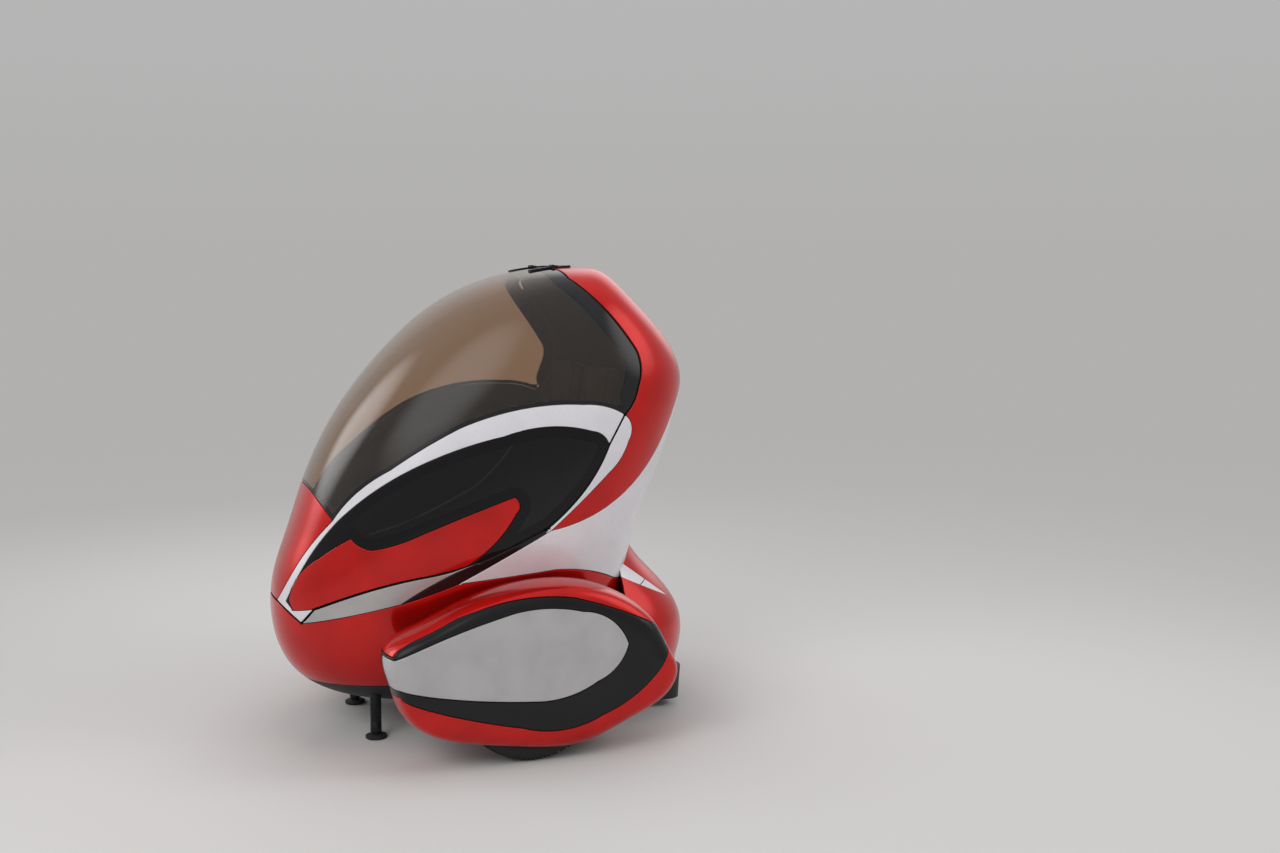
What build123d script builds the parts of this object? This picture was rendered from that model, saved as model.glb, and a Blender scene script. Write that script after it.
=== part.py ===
from build123d import *
import os
from math import cos, sin, pi, radians

# Two-seat electric personal mobility pod on two side-by-side wheels, parked on its landing legs.
# X points forward, Y to the left, Z up; the origin is on the floor under the middle. Millimetres.

os.makedirs("parts", exist_ok=True)

# Overall sizes
pod_outer = 710
front_fullness = 2.3
rear_fullness = 2.6

# Walls and gaps
panel_wall = 18
glass_wall = 6
pod_wall = 12
panel_gap = 0.8
shut_gap = 8
fit_gap = 0.4

# Horizontal sections of the body: height, foremost x, rearmost x, half width, x of the widest place
body_sections = [
    (120, 470, -300, 250, 0),
    (200, 655, -450, 340, 0),
    (300, 725, -500, 395, 0),
    (420, 750, -520, 435, 0),
    (550, 740, -530, 465, 0),
    (700, 690, -560, 495, -20),
    (900, 620, -640, 515, -80),
    (1100, 520, -710, 520, -150),
    (1250, 412, -735, 505, -220),
    (1400, 272, -660, 465, -270),
    (1520, 115, -545, 405, -300),
    (1590, -40, -475, 330, -320),
    (1625, -180, -430, 240, -340),
    (1638, -280, -400, 120, -350),
]
body_centre = (0, 850)
body_reach = 745
body_half_width = 520
body_half_height = 760

# Horizontal sections of the tail bumper: height, rearmost x, half width
tail_sections = [
    (150, -735, 400),
    (240, -750, 425),
    (340, -750, 430),
    (430, -705, 410),
    (520, -625, 370),
    (620, -550, 310),
]
tail_root = -440
tail_front = 100
tail_widest = -250
tail_wall = 15
tail_front_cut = 1200

# Wheel and drive unit
wheel_x = -20
wheel_y = 600
tyre_radius = 260
tyre_width = 130
tyre_shoulder = 28
tyre_bead_step = 12
tyre_bead_height = 30
rim_radius = 170
rim_wall = 8
axle_radius = 20
hub_wall = 14
stator_radius = 120
stator_width = 60
stator_clearance = 8

# Fender pod beside each wheel
pod_inner = 488
pod_outline = [
    (-71, 597), (96, 574), (234, 528), (358, 473), (469, 405), (452, 299), (409, 187), (357, 139), (292, 108),
    (159, 76), (3, 50), (-178, 46), (-366, 116), (-514, 210), (-533, 267), (-507, 330), (-444, 443),
    (-311, 547), (-189, 589),
]
pod_centre = (-20, 350)
pod_reach = 300
pod_span = 1200
pod_levels = [
    (pod_inner, 0.95),
    (560, 1.0),
    (640, 0.995),
    (685, 0.95),
    (pod_outer, 0.84),
]
pod_plate = 10
pod_form_start = 1
cover_near = 660

tyre_clearance = 12
tyre_slot_reach = 250
pod_slot_top = 150
hub_opening = 135

# Black valance under the tail
valance_bottom = 30
valance_length = 120
valance_half_width = 260
valance_x = -650
valance_corner = 50
valance_taper = -4

# Rim and drive unit, on the chassis arm
rim_width = 110
hub_length = 30
arm_end = 500
arm_radius = 36
arm_flange_radius = 90

# Chassis ladder and battery
rail_y = 215
rail_z = 260
rail_front = 455
rail_rear = -355
rail_width = 50
rail_height = 70
floor_top = 137.3
post_radius = 14
post_reach = 100
bracket_reach = 340
bracket_thickness = 16
bracket_height = 60
battery_x = 40
battery_length = 480
battery_width = 340
battery_height = 130
battery_corner = 12

# Landing legs
leg_radius = 20
leg_foot_radius = 38
leg_foot_height = 14
front_leg_x = 430
rear_leg_x = -300

# Cabin floor
floor_level = 298
floor_thickness = 8
floor_section = (floor_level, 700, -470, 370, 0)
riser_x = -120
riser_length = 530
riser_width = 420
riser_height = 130

# Seats: side outlines as x, z and corner radius, from the seat's foot up
seat_level = floor_level + floor_thickness + riser_height + fit_gap
seat_y = 190
seat_width = 350
cushion_corners = [
    (170, seat_level, 30), (-225, seat_level, 30), (-225, 570, 30),
    (-60, 572, 60), (150, 600, 25), (190, 560, 25),
]
back_corners = [
    (-235, seat_level, 30), (-245, 580, 60), (-360, 1090, 60), (-390, 1290, 30), (-460, 1290, 30),
    (-455, 1090, 60), (-345, 580, 60), (-322, seat_level, 30),
]

# Dash and steering
dash_half_width = 240
dash_corners = [
    (430, 690, 20), (450, 770, 20), (540, 790, 20), (580, 720, 30), (560, 560, 20), (480, 560, 20),
]
dash_stem = (60, 120, 270)
dash_stem_x = 510
column_radius = 22
yoke_x = 330
yoke_y = 200
yoke_z = 800
yoke_tilt = radians(25)
yoke_depth = 24
yoke_radius = 130
yoke_grip = 24
yoke_hub_radius = 34
yoke_bar = (240, 30)
yoke_arc_start = 170
yoke_arc = 200

# Canopy hinge across the roof: two brackets with ears and a pin, and an arm between each pair of ears
roof_seam_x = -234
hinge_x = -250
hinge_z = 1639.5
hinge_y = 130
hinge_pin_radius = 3
hinge_pin_play = 0.3
hinge_knuckle_radius = 5.5
hinge_arm_width = 24
hinge_ear_width = 8
hinge_foot = (-315, -259)
hinge_foot_top = 1643
hinge_block_drop = 30
hinge_plate = 6
hinge_arm_end = -165

# Side outlines in x and z, as chains of arcs: start, middle and end points in turn
border_top = (-254, 1597)
ring_back_outer = (-395, 1131)
ring_back_inner = (-336, 1030)
strip_tip = (120, 650)
tip_seam_top = (641, 486)
tip_seam_low = (678, 430)
nose_seam = (742, 488)
line_foot = (720, 497)
tail_foot = (-128, 745)
sill_corner = (374, 512)
waist_corner = (187, 577)
front_seam_front = (900, 1342)
border = [border_top, (-368, 1469), (-452, 1350), (-464, 1300), (-450, 1225), (-425, 1165), ring_back_outer]
shut_line = [
    ring_back_inner, (-281, 925), (-208, 836), (-163, 793), (-116, 755), (0, 700), strip_tip, (215, 622),
    (314, 602), (480, 558), tip_seam_top,
]
ring_outer = [
    nose_seam, (678, 633), (574, 787), (500, 885), (400, 963), (290, 1040), (175, 1105), (-40, 1166),
    (-240, 1172), (-330, 1160), ring_back_outer,
]
ring_inner = [
    ring_back_inner, (-318, 1058), (-271, 1080), (-120, 1102), (38, 1074), (190, 1032), (334, 968),
    (460, 884), (558, 790), (662, 632), line_foot,
]
door_front = [(712, 505), (672, 606), (617, 663), (572, 702), (525, 734)]
door_top = [
    (525, 734), (492, 706), (459, 699), (390, 718), (313, 750), (133, 823), (6, 868), (-13, 848), (-2, 812),
    (60, 722), (160, 640),
]
ring_tail = [ring_back_outer, (-424, 1090), (-414, 1039), (-385, 980), (-337, 930), (-240, 842), tail_foot]
pillar_low = [tail_foot, (-455, 887), (-640, 1130)]
sill_low = [tail_foot, (44, 653), waist_corner]
sill_bottom = [waist_corner, (282, 542), sill_corner]
sill_front = [sill_corner, (262, 584), strip_tip]
strip_low = [tip_seam_low, (540, 468), sill_corner]
waist_low = [waist_corner, (20, 590), (-150, 602), (-290, 580), (-405, 531)]
tub_top = 200
arm_opening = 48

# Side outlines of the left pod's pieces
cap_low = [(470, 408), (340, 478), (180, 536), (20, 566), (-140, 556), (-290, 505), (-430, 440)]
cover_top = [(452, 398), (200, 486), (60, 522), (-60, 528), (-170, 508), (-290, 452), (-330, 385)]
cover_bottom = [(-330, 385), (-300, 325), (-220, 268), (-120, 228), (0, 222), (210, 248), (436, 296)]
lip_top = [(445, 268), (250, 196), (40, 138), (-100, 116), (-240, 152), (-400, 242), (-500, 365)]


def oval(height, front, rear, half_width, widest, count=16):
    """Points of one rounded horizontal section of the body."""
    points = []
    for step in range(count):
        angle = 2 * pi * step / count
        fullness = front_fullness if cos(angle) >= -1e-9 else rear_fullness
        reach = front - widest if cos(angle) >= -1e-9 else widest - rear
        along = abs(cos(angle)) ** (2 / fullness) * (1 if cos(angle) >= 0 else -1)
        across = abs(sin(angle)) ** (2 / fullness) * (1 if sin(angle) >= 0 else -1)
        points.append((widest + reach * along, half_width * across, height))
    return points


def body_form(inset):
    """The closed egg of the body, drawn in from its outside by a wall."""
    length_scale = 1 - inset / body_reach
    width_scale = 1 - inset / body_half_width
    height_scale = 1 - inset / body_half_height
    with BuildPart() as form:
        for height, front, rear, half_width, widest in body_sections:
            level = body_centre[1] + (height - body_centre[1]) * height_scale
            row = (level, front * length_scale, rear * length_scale, half_width * width_scale)
            with BuildSketch(Plane.XY.offset(level)):
                with BuildLine():
                    Spline(*[(x, y) for x, y, z in oval(*row, widest)], periodic=True)
                make_face()
        loft()
    return form.part


def tail_form(inset):
    """The closed form of the tail bumper, drawn in by a wall and open below."""
    with BuildPart() as form:
        for height, rear, half_width in tail_sections:
            level = height - inset if height == tail_sections[0][0] else height
            with BuildSketch(Plane.XY.offset(level)):
                with BuildLine():
                    row = (level, tail_front, rear + inset, half_width - inset, tail_widest)
                    Spline(*[(x, y) for x, y, z in oval(*row)], periodic=True)
                make_face()
        loft()
    return form.part


def arc_chain(points):
    """Arcs through every three points: start, middle, end, middle, end."""
    for index in range(0, len(points) - 2, 2):
        ThreePointArc(*points[index:index + 3])


def side_block(draw, gap=0, near=-900, far=900):
    """A block whose side view is the closed outline that draw makes, grown by gap."""
    with BuildPart() as block:
        with BuildSketch(Plane.XZ.offset(-far)):
            with BuildLine():
                draw()
            make_face()
            if gap:
                offset(amount=gap)
        extrude(amount=far - near)
    return block.part


def canopy_outline():
    """Everything that lifts with the canopy, seen from the side."""
    Polyline(tip_seam_top, tip_seam_low, nose_seam, (900, 560), (900, 1750), (roof_seam_x, 1750), border_top)
    arc_chain(border)
    Line(ring_back_outer, ring_back_inner)
    arc_chain(shut_line)


def ring_outline():
    """The arch of the canopy ring, its thin nose line and the tip where both end."""
    arc_chain(ring_outer)
    Line(ring_back_outer, ring_back_inner)
    arc_chain(ring_inner)
    Polyline(line_foot, (701, 470), tip_seam_top, tip_seam_low, nose_seam)


def windscreen_outline():
    """The roof and windscreen, above the ring and the front seam."""
    arc_chain(ring_outer[2:])
    Polyline(ring_back_outer, (-600, 1131), (-600, 1800), (900, 1800), front_seam_front, ring_outer[2])


def nose_panel_outline():
    """The nose panel between the front seam and the thin nose line."""
    arc_chain(ring_outer[:3])
    Polyline(ring_outer[2], front_seam_front, (900, 560), nose_seam)


def glass_outline():
    """The side glass with its dark border, inside the ring and down to the shut line."""
    arc_chain(ring_inner)
    Polyline(line_foot, (701, 470), tip_seam_top, (600, 400), (-300, 400), (-400, 900), ring_back_inner)


def door_outline():
    """The painted lower side panel."""
    arc_chain(door_front)
    arc_chain(door_top)
    Polyline(door_top[-1], (160, 400), (600, 400), tip_seam_top, (701, 470), door_front[0])


def ring_tail_outline():
    """The fixed lower end of the ring."""
    arc_chain(ring_tail)
    Polyline(tail_foot, (0, 745), (0, 1131), ring_back_outer)


def rear_shell_outline():
    """The rear pillars and the end of the roof."""
    arc_chain(pillar_low)
    Polyline(pillar_low[-1], (-800, 1420), (-800, 1800), (0, 1800), (0, 745), tail_foot)


def waist_outline():
    """The pale waist that wraps round the back."""
    arc_chain(sill_low)
    arc_chain(waist_low)
    Polyline(waist_low[-1], (-900, 400), (-900, 1601), pillar_low[-1])
    arc_chain(pillar_low[::-1])


def sill_outline():
    """The dark sill between the side panel and the waist."""
    arc_chain(sill_low)
    arc_chain(sill_bottom)
    arc_chain(sill_front)
    Polyline(strip_tip, (100, 745), tail_foot)


def strip_outline():
    """The grey strip along the lower edge of the side panel."""
    Polyline(strip_tip, (200, 700), (700, 560), tip_seam_top, tip_seam_low)
    arc_chain(strip_low)
    arc_chain(sill_front)


def lower_outline():
    """The painted lower body, from the nose back to the tail."""
    Polyline((900, 560), nose_seam, tip_seam_low)
    arc_chain(strip_low)
    arc_chain(sill_bottom[::-1])
    arc_chain(waist_low)
    Polyline(waist_low[-1], (waist_low[-1][0], tub_top), (900, tub_top), (900, 560))


def tub_outline():
    """The dark tub: the underside and the bulkhead inside the tail."""
    corner_x, corner_z = waist_low[-1]
    Polyline(
        (corner_x, corner_z), (corner_x, tub_top), (900, tub_top), (900, 0), (-900, 0), (-900, 400),
        (corner_x, corner_z),
    )


def pod_form(inset):
    """The closed body of the left fender pod."""
    with BuildPart() as form:
        for level, size in pod_levels:
            depth = level - (inset if level > pod_inner else pod_form_start if inset else 0)
            reach = size * (1 - inset / pod_reach)
            around = [
                (pod_centre[0] + (x - pod_centre[0]) * reach, pod_centre[1] + (z - pod_centre[1]) * reach)
                for x, z in pod_outline
            ]
            with BuildSketch(Plane.XZ.offset(-depth)):
                with BuildLine():
                    Spline(*around, periodic=True)
                make_face()
        loft()
    return form.part


def cap_outline():
    """The painted arch over the wheel."""
    arc_chain(cap_low)
    Polyline(cap_low[-1], (-700, 440), (-700, 800), (700, 800), (700, 408), cap_low[0])


def cover_outline():
    """The pale wheel cover."""
    arc_chain(cover_top)
    arc_chain(cover_bottom)
    Line(cover_bottom[-1], cover_top[0])


def band_outline():
    """The dark band between the arch and the lip."""
    arc_chain(cap_low)
    Polyline(cap_low[-1], (-700, 440), (-700, 365), lip_top[-1])
    arc_chain(lip_top[::-1])
    Polyline(lip_top[0], (600, 0), (700, 0), (700, 408), cap_low[0])


def lip_outline():
    """The painted lower lip of the pod."""
    arc_chain(lip_top)
    Polyline(lip_top[-1], (-700, 365), (-700, 0), (600, 0), lip_top[0])


def rounded_outline(corners):
    """A closed outline of straight sides with rounded corners: x, z and radius of each."""
    points = [(x, z) for x, z, radius in corners]
    FilletPolyline(*points, radius=[radius for x, z, radius in corners], close=True)


def save(piece, name):
    """Label one finished piece and write its file."""
    piece.label = name
    export_step(piece, f"parts/{name}.step")


def save_pair(piece, name):
    """Write the left piece and its mirror image for the right side."""
    save(piece, f"{name}_left")
    save(mirror(piece, about=Plane.XZ), f"{name}_right")


def panel(shell, outline, gap=panel_gap / 2, near=-900):
    """The share of a shell that lies inside a side outline."""
    with BuildPart() as piece:
        add(shell)
        add(side_block(outline, -gap, near), mode=Mode.INTERSECT)
    return piece.part


# Body shells: outside less inside, parted along the shut line
outer_form = body_form(0)
inner_form = body_form(panel_wall)
pane_form = body_form(glass_wall)
with BuildPart() as shell:
    add(outer_form)
    add(inner_form, mode=Mode.SUBTRACT)
with BuildPart() as pane:
    add(outer_form)
    add(pane_form, mode=Mode.SUBTRACT)
canopy_shell = panel(shell.part, canopy_outline, shut_gap / 2)
canopy_pane = panel(pane.part, canopy_outline, shut_gap / 2)
outside_form = body_form(-fit_gap)
hinge_form = body_form(-fit_gap - hinge_plate)
with BuildPart() as fixed:
    add(shell.part)
    add(side_block(canopy_outline, shut_gap / 2), mode=Mode.SUBTRACT)
fixed_shell = fixed.part
print("shells done")

# Canopy
save(panel(canopy_pane, windscreen_outline), "windscreen")
save(panel(canopy_shell, nose_panel_outline), "nose_panel")
save_pair(panel(canopy_shell, ring_outline, near=1), "canopy_ring")
with BuildPart() as side_glass:
    add(panel(canopy_pane, glass_outline, near=1))
    add(side_block(door_outline, panel_gap / 2), mode=Mode.SUBTRACT)
save_pair(side_glass.part, "side_glass")
with BuildPart() as door_panel:
    add(panel(canopy_shell, door_outline, near=1))
    add(side_block(ring_outline, panel_gap / 2), mode=Mode.SUBTRACT)
save_pair(door_panel.part, "door_panel")
print("canopy done")

# Hinge: brackets on the end of the roof, arms on the glass
ear_offset = hinge_arm_width / 2 + fit_gap + hinge_ear_width / 2
bracket_width = 2 * ear_offset + hinge_ear_width
with BuildPart() as hinge_brackets:
    for side in (-1, 1):
        with Locations((hinge_foot[0], side * hinge_y, hinge_z - hinge_block_drop)):
            Box(hinge_foot[1] - hinge_foot[0], bracket_width, hinge_foot_top - hinge_z + hinge_block_drop,
                align=(Align.MIN, Align.CENTER, Align.MIN))
    add(hinge_form, mode=Mode.INTERSECT)
    for ear_y in [side * hinge_y + ear_side * ear_offset for side in (-1, 1) for ear_side in (-1, 1)]:
        with Locations((hinge_foot[1] - hinge_ear_width, ear_y, hinge_z)):
            Box(hinge_x - hinge_foot[1] + hinge_ear_width, hinge_ear_width, 2 * (hinge_foot_top - hinge_z),
                align=(Align.MIN, Align.CENTER, Align.CENTER))
        with Locations(Location((hinge_x, ear_y, hinge_z), (90, 0, 0))):
            Cylinder(hinge_knuckle_radius, hinge_ear_width)
    add(outside_form, mode=Mode.SUBTRACT)
    with Locations(*[Location((hinge_x, side * hinge_y, hinge_z), (90, 0, 0)) for side in (-1, 1)]):
        Cylinder(hinge_pin_radius, bracket_width)
save(hinge_brackets.part, "canopy_hinge")

with BuildPart() as hinge_arms:
    for side in (-1, 1):
        with Locations((hinge_x, side * hinge_y, hinge_z - hinge_block_drop)):
            Box(hinge_arm_end - hinge_x, hinge_arm_width, hinge_foot_top - hinge_z + hinge_block_drop,
                align=(Align.MIN, Align.CENTER, Align.MIN))
    add(hinge_form, mode=Mode.INTERSECT)
    with Locations(*[Location((hinge_x, side * hinge_y, hinge_z), (90, 0, 0)) for side in (-1, 1)]):
        Cylinder(hinge_knuckle_radius, hinge_arm_width)
    add(outside_form, mode=Mode.SUBTRACT)
    with Locations(*[Location((hinge_x, side * hinge_y, hinge_z), (90, 0, 0)) for side in (-1, 1)]):
        Cylinder(hinge_pin_radius + hinge_pin_play, bracket_width, mode=Mode.SUBTRACT)
save(hinge_arms.part, "canopy_hinge_arms")
print("hinge done")

# Fixed body
save_pair(panel(fixed_shell, ring_tail_outline, near=1), "ring_tail")
with BuildPart() as rear_shell:
    add(panel(fixed_shell, rear_shell_outline))
    add(side_block(ring_tail_outline, panel_gap / 2), mode=Mode.SUBTRACT)
save(rear_shell.part, "rear_shell")
waist = panel(fixed_shell, waist_outline)
save(waist, "waist_panel")
save_pair(panel(fixed_shell, sill_outline, near=1), "sill_band")
save_pair(panel(fixed_shell, strip_outline, near=1), "side_strip")
with BuildPart() as lower_body:
    add(panel(fixed_shell, lower_outline))
    with Locations(Location((wheel_x, 0, tyre_radius), (90, 0, 0))):
        Cylinder(arm_opening, 2 * arm_end, mode=Mode.SUBTRACT)
save(lower_body.part, "lower_body")
with BuildPart() as floor_tub:
    add(panel(fixed_shell, tub_outline))
    with Locations(*[(x, side * rail_y, 0) for x in (front_leg_x, rear_leg_x) for side in (-1, 1)]):
        Cylinder(leg_radius + fit_gap, 2 * tub_top, mode=Mode.SUBTRACT)
save(floor_tub.part, "floor_tub")
print("fixed done")

# Tail bumper and valance
with BuildPart() as tail_bumper:
    add(tail_form(0))
    add(tail_form(tail_wall), mode=Mode.SUBTRACT)
    add(outside_form, mode=Mode.SUBTRACT)
    with Locations((tail_root, 0, 0)):
        Box(tail_front_cut, tail_front_cut, tail_front_cut, align=(Align.MIN, Align.CENTER, Align.MIN),
            mode=Mode.SUBTRACT)
save(tail_bumper.part, "tail_bumper")

with BuildPart() as valance:
    with BuildSketch(Plane.XY.offset(valance_bottom)):
        with Locations((valance_x, 0)):
            RectangleRounded(valance_length, 2 * valance_half_width, valance_corner)
    extrude(amount=tail_sections[0][0] - fit_gap - valance_bottom, taper=valance_taper)
save(valance.part, "rear_valance")
print("tail done")

# Fender pod: shell of the left pod, parted into arch, band, cover and lip
with BuildPart() as pod_shell:
    add(pod_form(0))
    add(pod_form(pod_wall), mode=Mode.SUBTRACT)
    with BuildSketch(Plane.XY):
        with Locations((wheel_x, wheel_y)):
            Rectangle(2 * tyre_slot_reach, tyre_width + 2 * tyre_clearance)
    extrude(amount=pod_slot_top, mode=Mode.SUBTRACT)
save_pair(panel(pod_shell.part, cap_outline), "pod_arch")
save_pair(panel(pod_shell.part, lip_outline), "pod_lip")
with BuildPart() as cover_part:
    add(panel(pod_shell.part, cover_outline))
    with BuildPart(mode=Mode.PRIVATE) as outside:
        with Locations((pod_centre[0], cover_near, pod_centre[1])):
            Box(pod_span, pod_span, pod_span, align=(Align.CENTER, Align.MIN, Align.CENTER))
    add(outside.part, mode=Mode.INTERSECT)
save_pair(cover_part.part, "wheel_cover")
with BuildPart() as inner_plate:
    add(pod_form(pod_wall / 2))
    with Locations((pod_centre[0], pod_inner, pod_centre[1])):
        Box(pod_span, 2 * pod_plate, pod_span, mode=Mode.INTERSECT)
    add(side_block(band_outline, -panel_gap / 2), mode=Mode.INTERSECT)
    with BuildPart(mode=Mode.PRIVATE) as plate_middle:
        add(pod_form(pod_wall + fit_gap))
        with Locations((pod_centre[0], pod_inner, pod_centre[1])):
            Box(pod_span, 2 * pod_plate, pod_span, mode=Mode.INTERSECT)
    add(plate_middle.part)
    with Locations(Location((wheel_x, pod_inner, tyre_radius), (90, 0, 0))):
        Cylinder(hub_opening, 4 * pod_plate, mode=Mode.SUBTRACT)
with BuildPart() as pod_band:
    add(panel(pod_shell.part, band_outline))
    add(side_block(cover_outline, panel_gap / 2, near=cover_near - panel_gap), mode=Mode.SUBTRACT)
    add(inner_plate.part)
save_pair(pod_band.part, "pod_band")
print("pods done")

# Wheels: tyre and rim turn on the stub axle
wheel_plane = Plane((wheel_x, wheel_y, tyre_radius), x_dir=(1, 0, 0), z_dir=(0, 1, 0))
tyre_profile = [
    (tyre_width / 2 - tyre_bead_step, rim_radius),
    (tyre_width / 2, rim_radius + tyre_bead_height),
    (tyre_width / 2, tyre_radius - tyre_shoulder),
    (tyre_width / 2 - 0.3 * tyre_shoulder, tyre_radius - 0.3 * tyre_shoulder),
    (tyre_width / 2 - tyre_shoulder, tyre_radius),
]
with BuildPart() as tyre:
    with BuildSketch(Plane((wheel_x, wheel_y, tyre_radius), x_dir=(0, 1, 0), z_dir=(1, 0, 0))):
        with BuildLine():
            around = [(side * across, radius) for side in (1, -1) for across, radius in tyre_profile[::side]]
            Polyline(*around, close=True)
        make_face()
    revolve(axis=Axis((wheel_x, wheel_y, tyre_radius), (0, 1, 0)))
save_pair(tyre.part, "tyre")

with BuildPart() as rim:
    with BuildSketch(wheel_plane):
        Circle(rim_radius - fit_gap / 2)
    extrude(amount=rim_width / 2, both=True)
    with BuildSketch(wheel_plane.offset(-rim_width / 2)):
        Circle(rim_radius - rim_wall)
    extrude(amount=rim_width - rim_wall, mode=Mode.SUBTRACT)
    with BuildSketch(wheel_plane.offset(rim_width / 2 - hub_length)):
        Circle(axle_radius + hub_wall)
    extrude(amount=hub_length)
    with BuildSketch(wheel_plane.offset(rim_width / 2 - hub_length)):
        Circle(axle_radius + fit_gap)
    extrude(amount=hub_length, mode=Mode.SUBTRACT)
save_pair(rim.part, "rim")

# Drive unit inside each rim, on the end of the chassis arm
stator_start = wheel_y - rim_width / 2 + stator_clearance
with BuildPart() as drive_unit:
    with BuildSketch(Plane.XZ.offset(-arm_end)):
        with Locations((wheel_x, tyre_radius)):
            Circle(arm_flange_radius)
    extrude(amount=-(stator_start - arm_end))
    with BuildSketch(Plane.XZ.offset(-stator_start)):
        with Locations((wheel_x, tyre_radius)):
            Circle(stator_radius)
    extrude(amount=-stator_width)
    with BuildSketch(Plane.XZ.offset(-stator_start)):
        with Locations((wheel_x, tyre_radius)):
            Circle(axle_radius)
    extrude(amount=-(wheel_y + rim_width / 2 - stator_start))
save_pair(drive_unit.part, "drive_unit")
print("wheels done")

# Chassis: ladder frame, battery block and the arms out to the drive units
with BuildPart() as chassis:
    rail_length = rail_front - rail_rear
    for side in (-1, 1):
        with Locations(((rail_front + rail_rear) / 2, side * rail_y, rail_z)):
            Box(rail_length, rail_width, rail_height)
        with Locations(Location((wheel_x, side * rail_y, tyre_radius), (-90 * side, 0, 0))):
            Cylinder(arm_radius, arm_end - rail_y, align=(Align.CENTER, Align.CENTER, Align.MIN))
        bracket_y = pod_inner - pod_form_start - fit_gap - bracket_thickness / 2
        with Locations((wheel_x, side * bracket_y, tyre_radius)):
            Box(bracket_reach, bracket_thickness, bracket_height)
        posts = [(post_x, side * rail_y, floor_top + fit_gap) for post_x in (-post_reach, post_reach)]
        with Locations(*posts):
            Cylinder(post_radius, rail_z - floor_top, align=(Align.CENTER, Align.CENTER, Align.MIN))
    for cross_x in (rail_rear + rail_width / 2, rail_front - rail_width / 2):
        with Locations((cross_x, 0, rail_z)):
            Box(rail_width, 2 * rail_y, rail_height)
save(chassis.part, "chassis_frame")

with BuildPart() as battery:
    with Locations((battery_x, 0, floor_top + fit_gap)):
        Box(battery_length, battery_width, battery_height, align=(Align.CENTER, Align.CENTER, Align.MIN))
    fillet(battery.edges().filter_by(Axis.Z), radius=battery_corner)
save(battery.part, "battery_block")

# Landing legs, down on the floor
leg_top = rail_z - rail_height / 2 - fit_gap
for name, leg_x in (("front_legs", front_leg_x), ("rear_legs", rear_leg_x)):
    with BuildPart() as legs:
        with Locations((leg_x, -rail_y, 0), (leg_x, rail_y, 0)):
            Cylinder(leg_foot_radius, leg_foot_height, align=(Align.CENTER, Align.CENTER, Align.MIN))
            Cylinder(leg_radius, leg_top, align=(Align.CENTER, Align.CENTER, Align.MIN))
    save(legs.part, name)

# Cabin floor with the riser that carries the seats
with BuildPart() as cabin_floor:
    with BuildSketch(Plane.XY.offset(floor_level)):
        with BuildLine():
            Spline(*[(x, y) for x, y, z in oval(*floor_section)], periodic=True)
        make_face()
    extrude(amount=floor_thickness)
    with Locations((riser_x, 0, floor_level + floor_thickness)):
        Box(riser_length, riser_width, riser_height, align=(Align.CENTER, Align.CENTER, Align.MIN))
save(cabin_floor.part, "cabin_floor")

# Seats
for side, name in ((1, "left"), (-1, "right")):
    with BuildPart() as cushion:
        with BuildSketch(Plane.XZ.offset(-side * seat_y)):
            with BuildLine():
                rounded_outline(cushion_corners)
            make_face()
        extrude(amount=seat_width / 2, both=True)
    save(cushion.part, f"seat_cushion_{name}")
    with BuildPart() as back:
        with BuildSketch(Plane.XZ.offset(-side * seat_y)):
            with BuildLine():
                rounded_outline(back_corners)
            make_face()
        extrude(amount=seat_width / 2, both=True)
    save(back.part, f"seat_back_{name}")

# Dash with display, steering column and yoke
with BuildPart() as dash:
    with BuildSketch(Plane.XZ):
        with BuildLine():
            rounded_outline(dash_corners)
        make_face()
    extrude(amount=dash_half_width, both=True)
    with Locations((dash_stem_x, 0, floor_level + floor_thickness + fit_gap)):
        Box(*dash_stem, align=(Align.CENTER, Align.CENTER, Align.MIN))
save(dash.part, "dash")
column_plane = Plane((yoke_x, yoke_y, yoke_z), x_dir=(0, 1, 0), z_dir=(-cos(yoke_tilt), 0, sin(yoke_tilt)))
with BuildPart() as column:
    with BuildSketch(column_plane.offset(-yoke_depth / 2 - fit_gap)):
        Circle(column_radius)
    extrude(until=Until.NEXT, target=dash.part, dir=-column_plane.z_dir)
save(column.part, "steering_column")
with BuildPart() as yoke:
    with BuildSketch(column_plane.offset(-yoke_depth / 2)):
        Circle(yoke_hub_radius)
        with BuildLine():
            CenterArc((0, 0), yoke_radius, yoke_arc_start, yoke_arc)
            CenterArc((0, 0), yoke_radius - yoke_grip, yoke_arc_start, yoke_arc)
            for end in (yoke_arc_start, yoke_arc_start + yoke_arc):
                outward = Vector(cos(radians(end)), sin(radians(end)))
                Line((yoke_radius - yoke_grip) * outward, yoke_radius * outward)
        make_face()
        Rectangle(*yoke_bar)
    extrude(amount=yoke_depth)
save(yoke.part, "steering_yoke")
print("cabin done")
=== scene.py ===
# Looks of a parked two-seat electric mobility pod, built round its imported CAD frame.
# Units are metres: X forward, Y to the vehicle's left, Z up.
import bmesh
import bpy
import numpy as np
from mathutils import Matrix, Vector, kdtree
from mathutils.geometry import delaunay_2d_cdt


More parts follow.
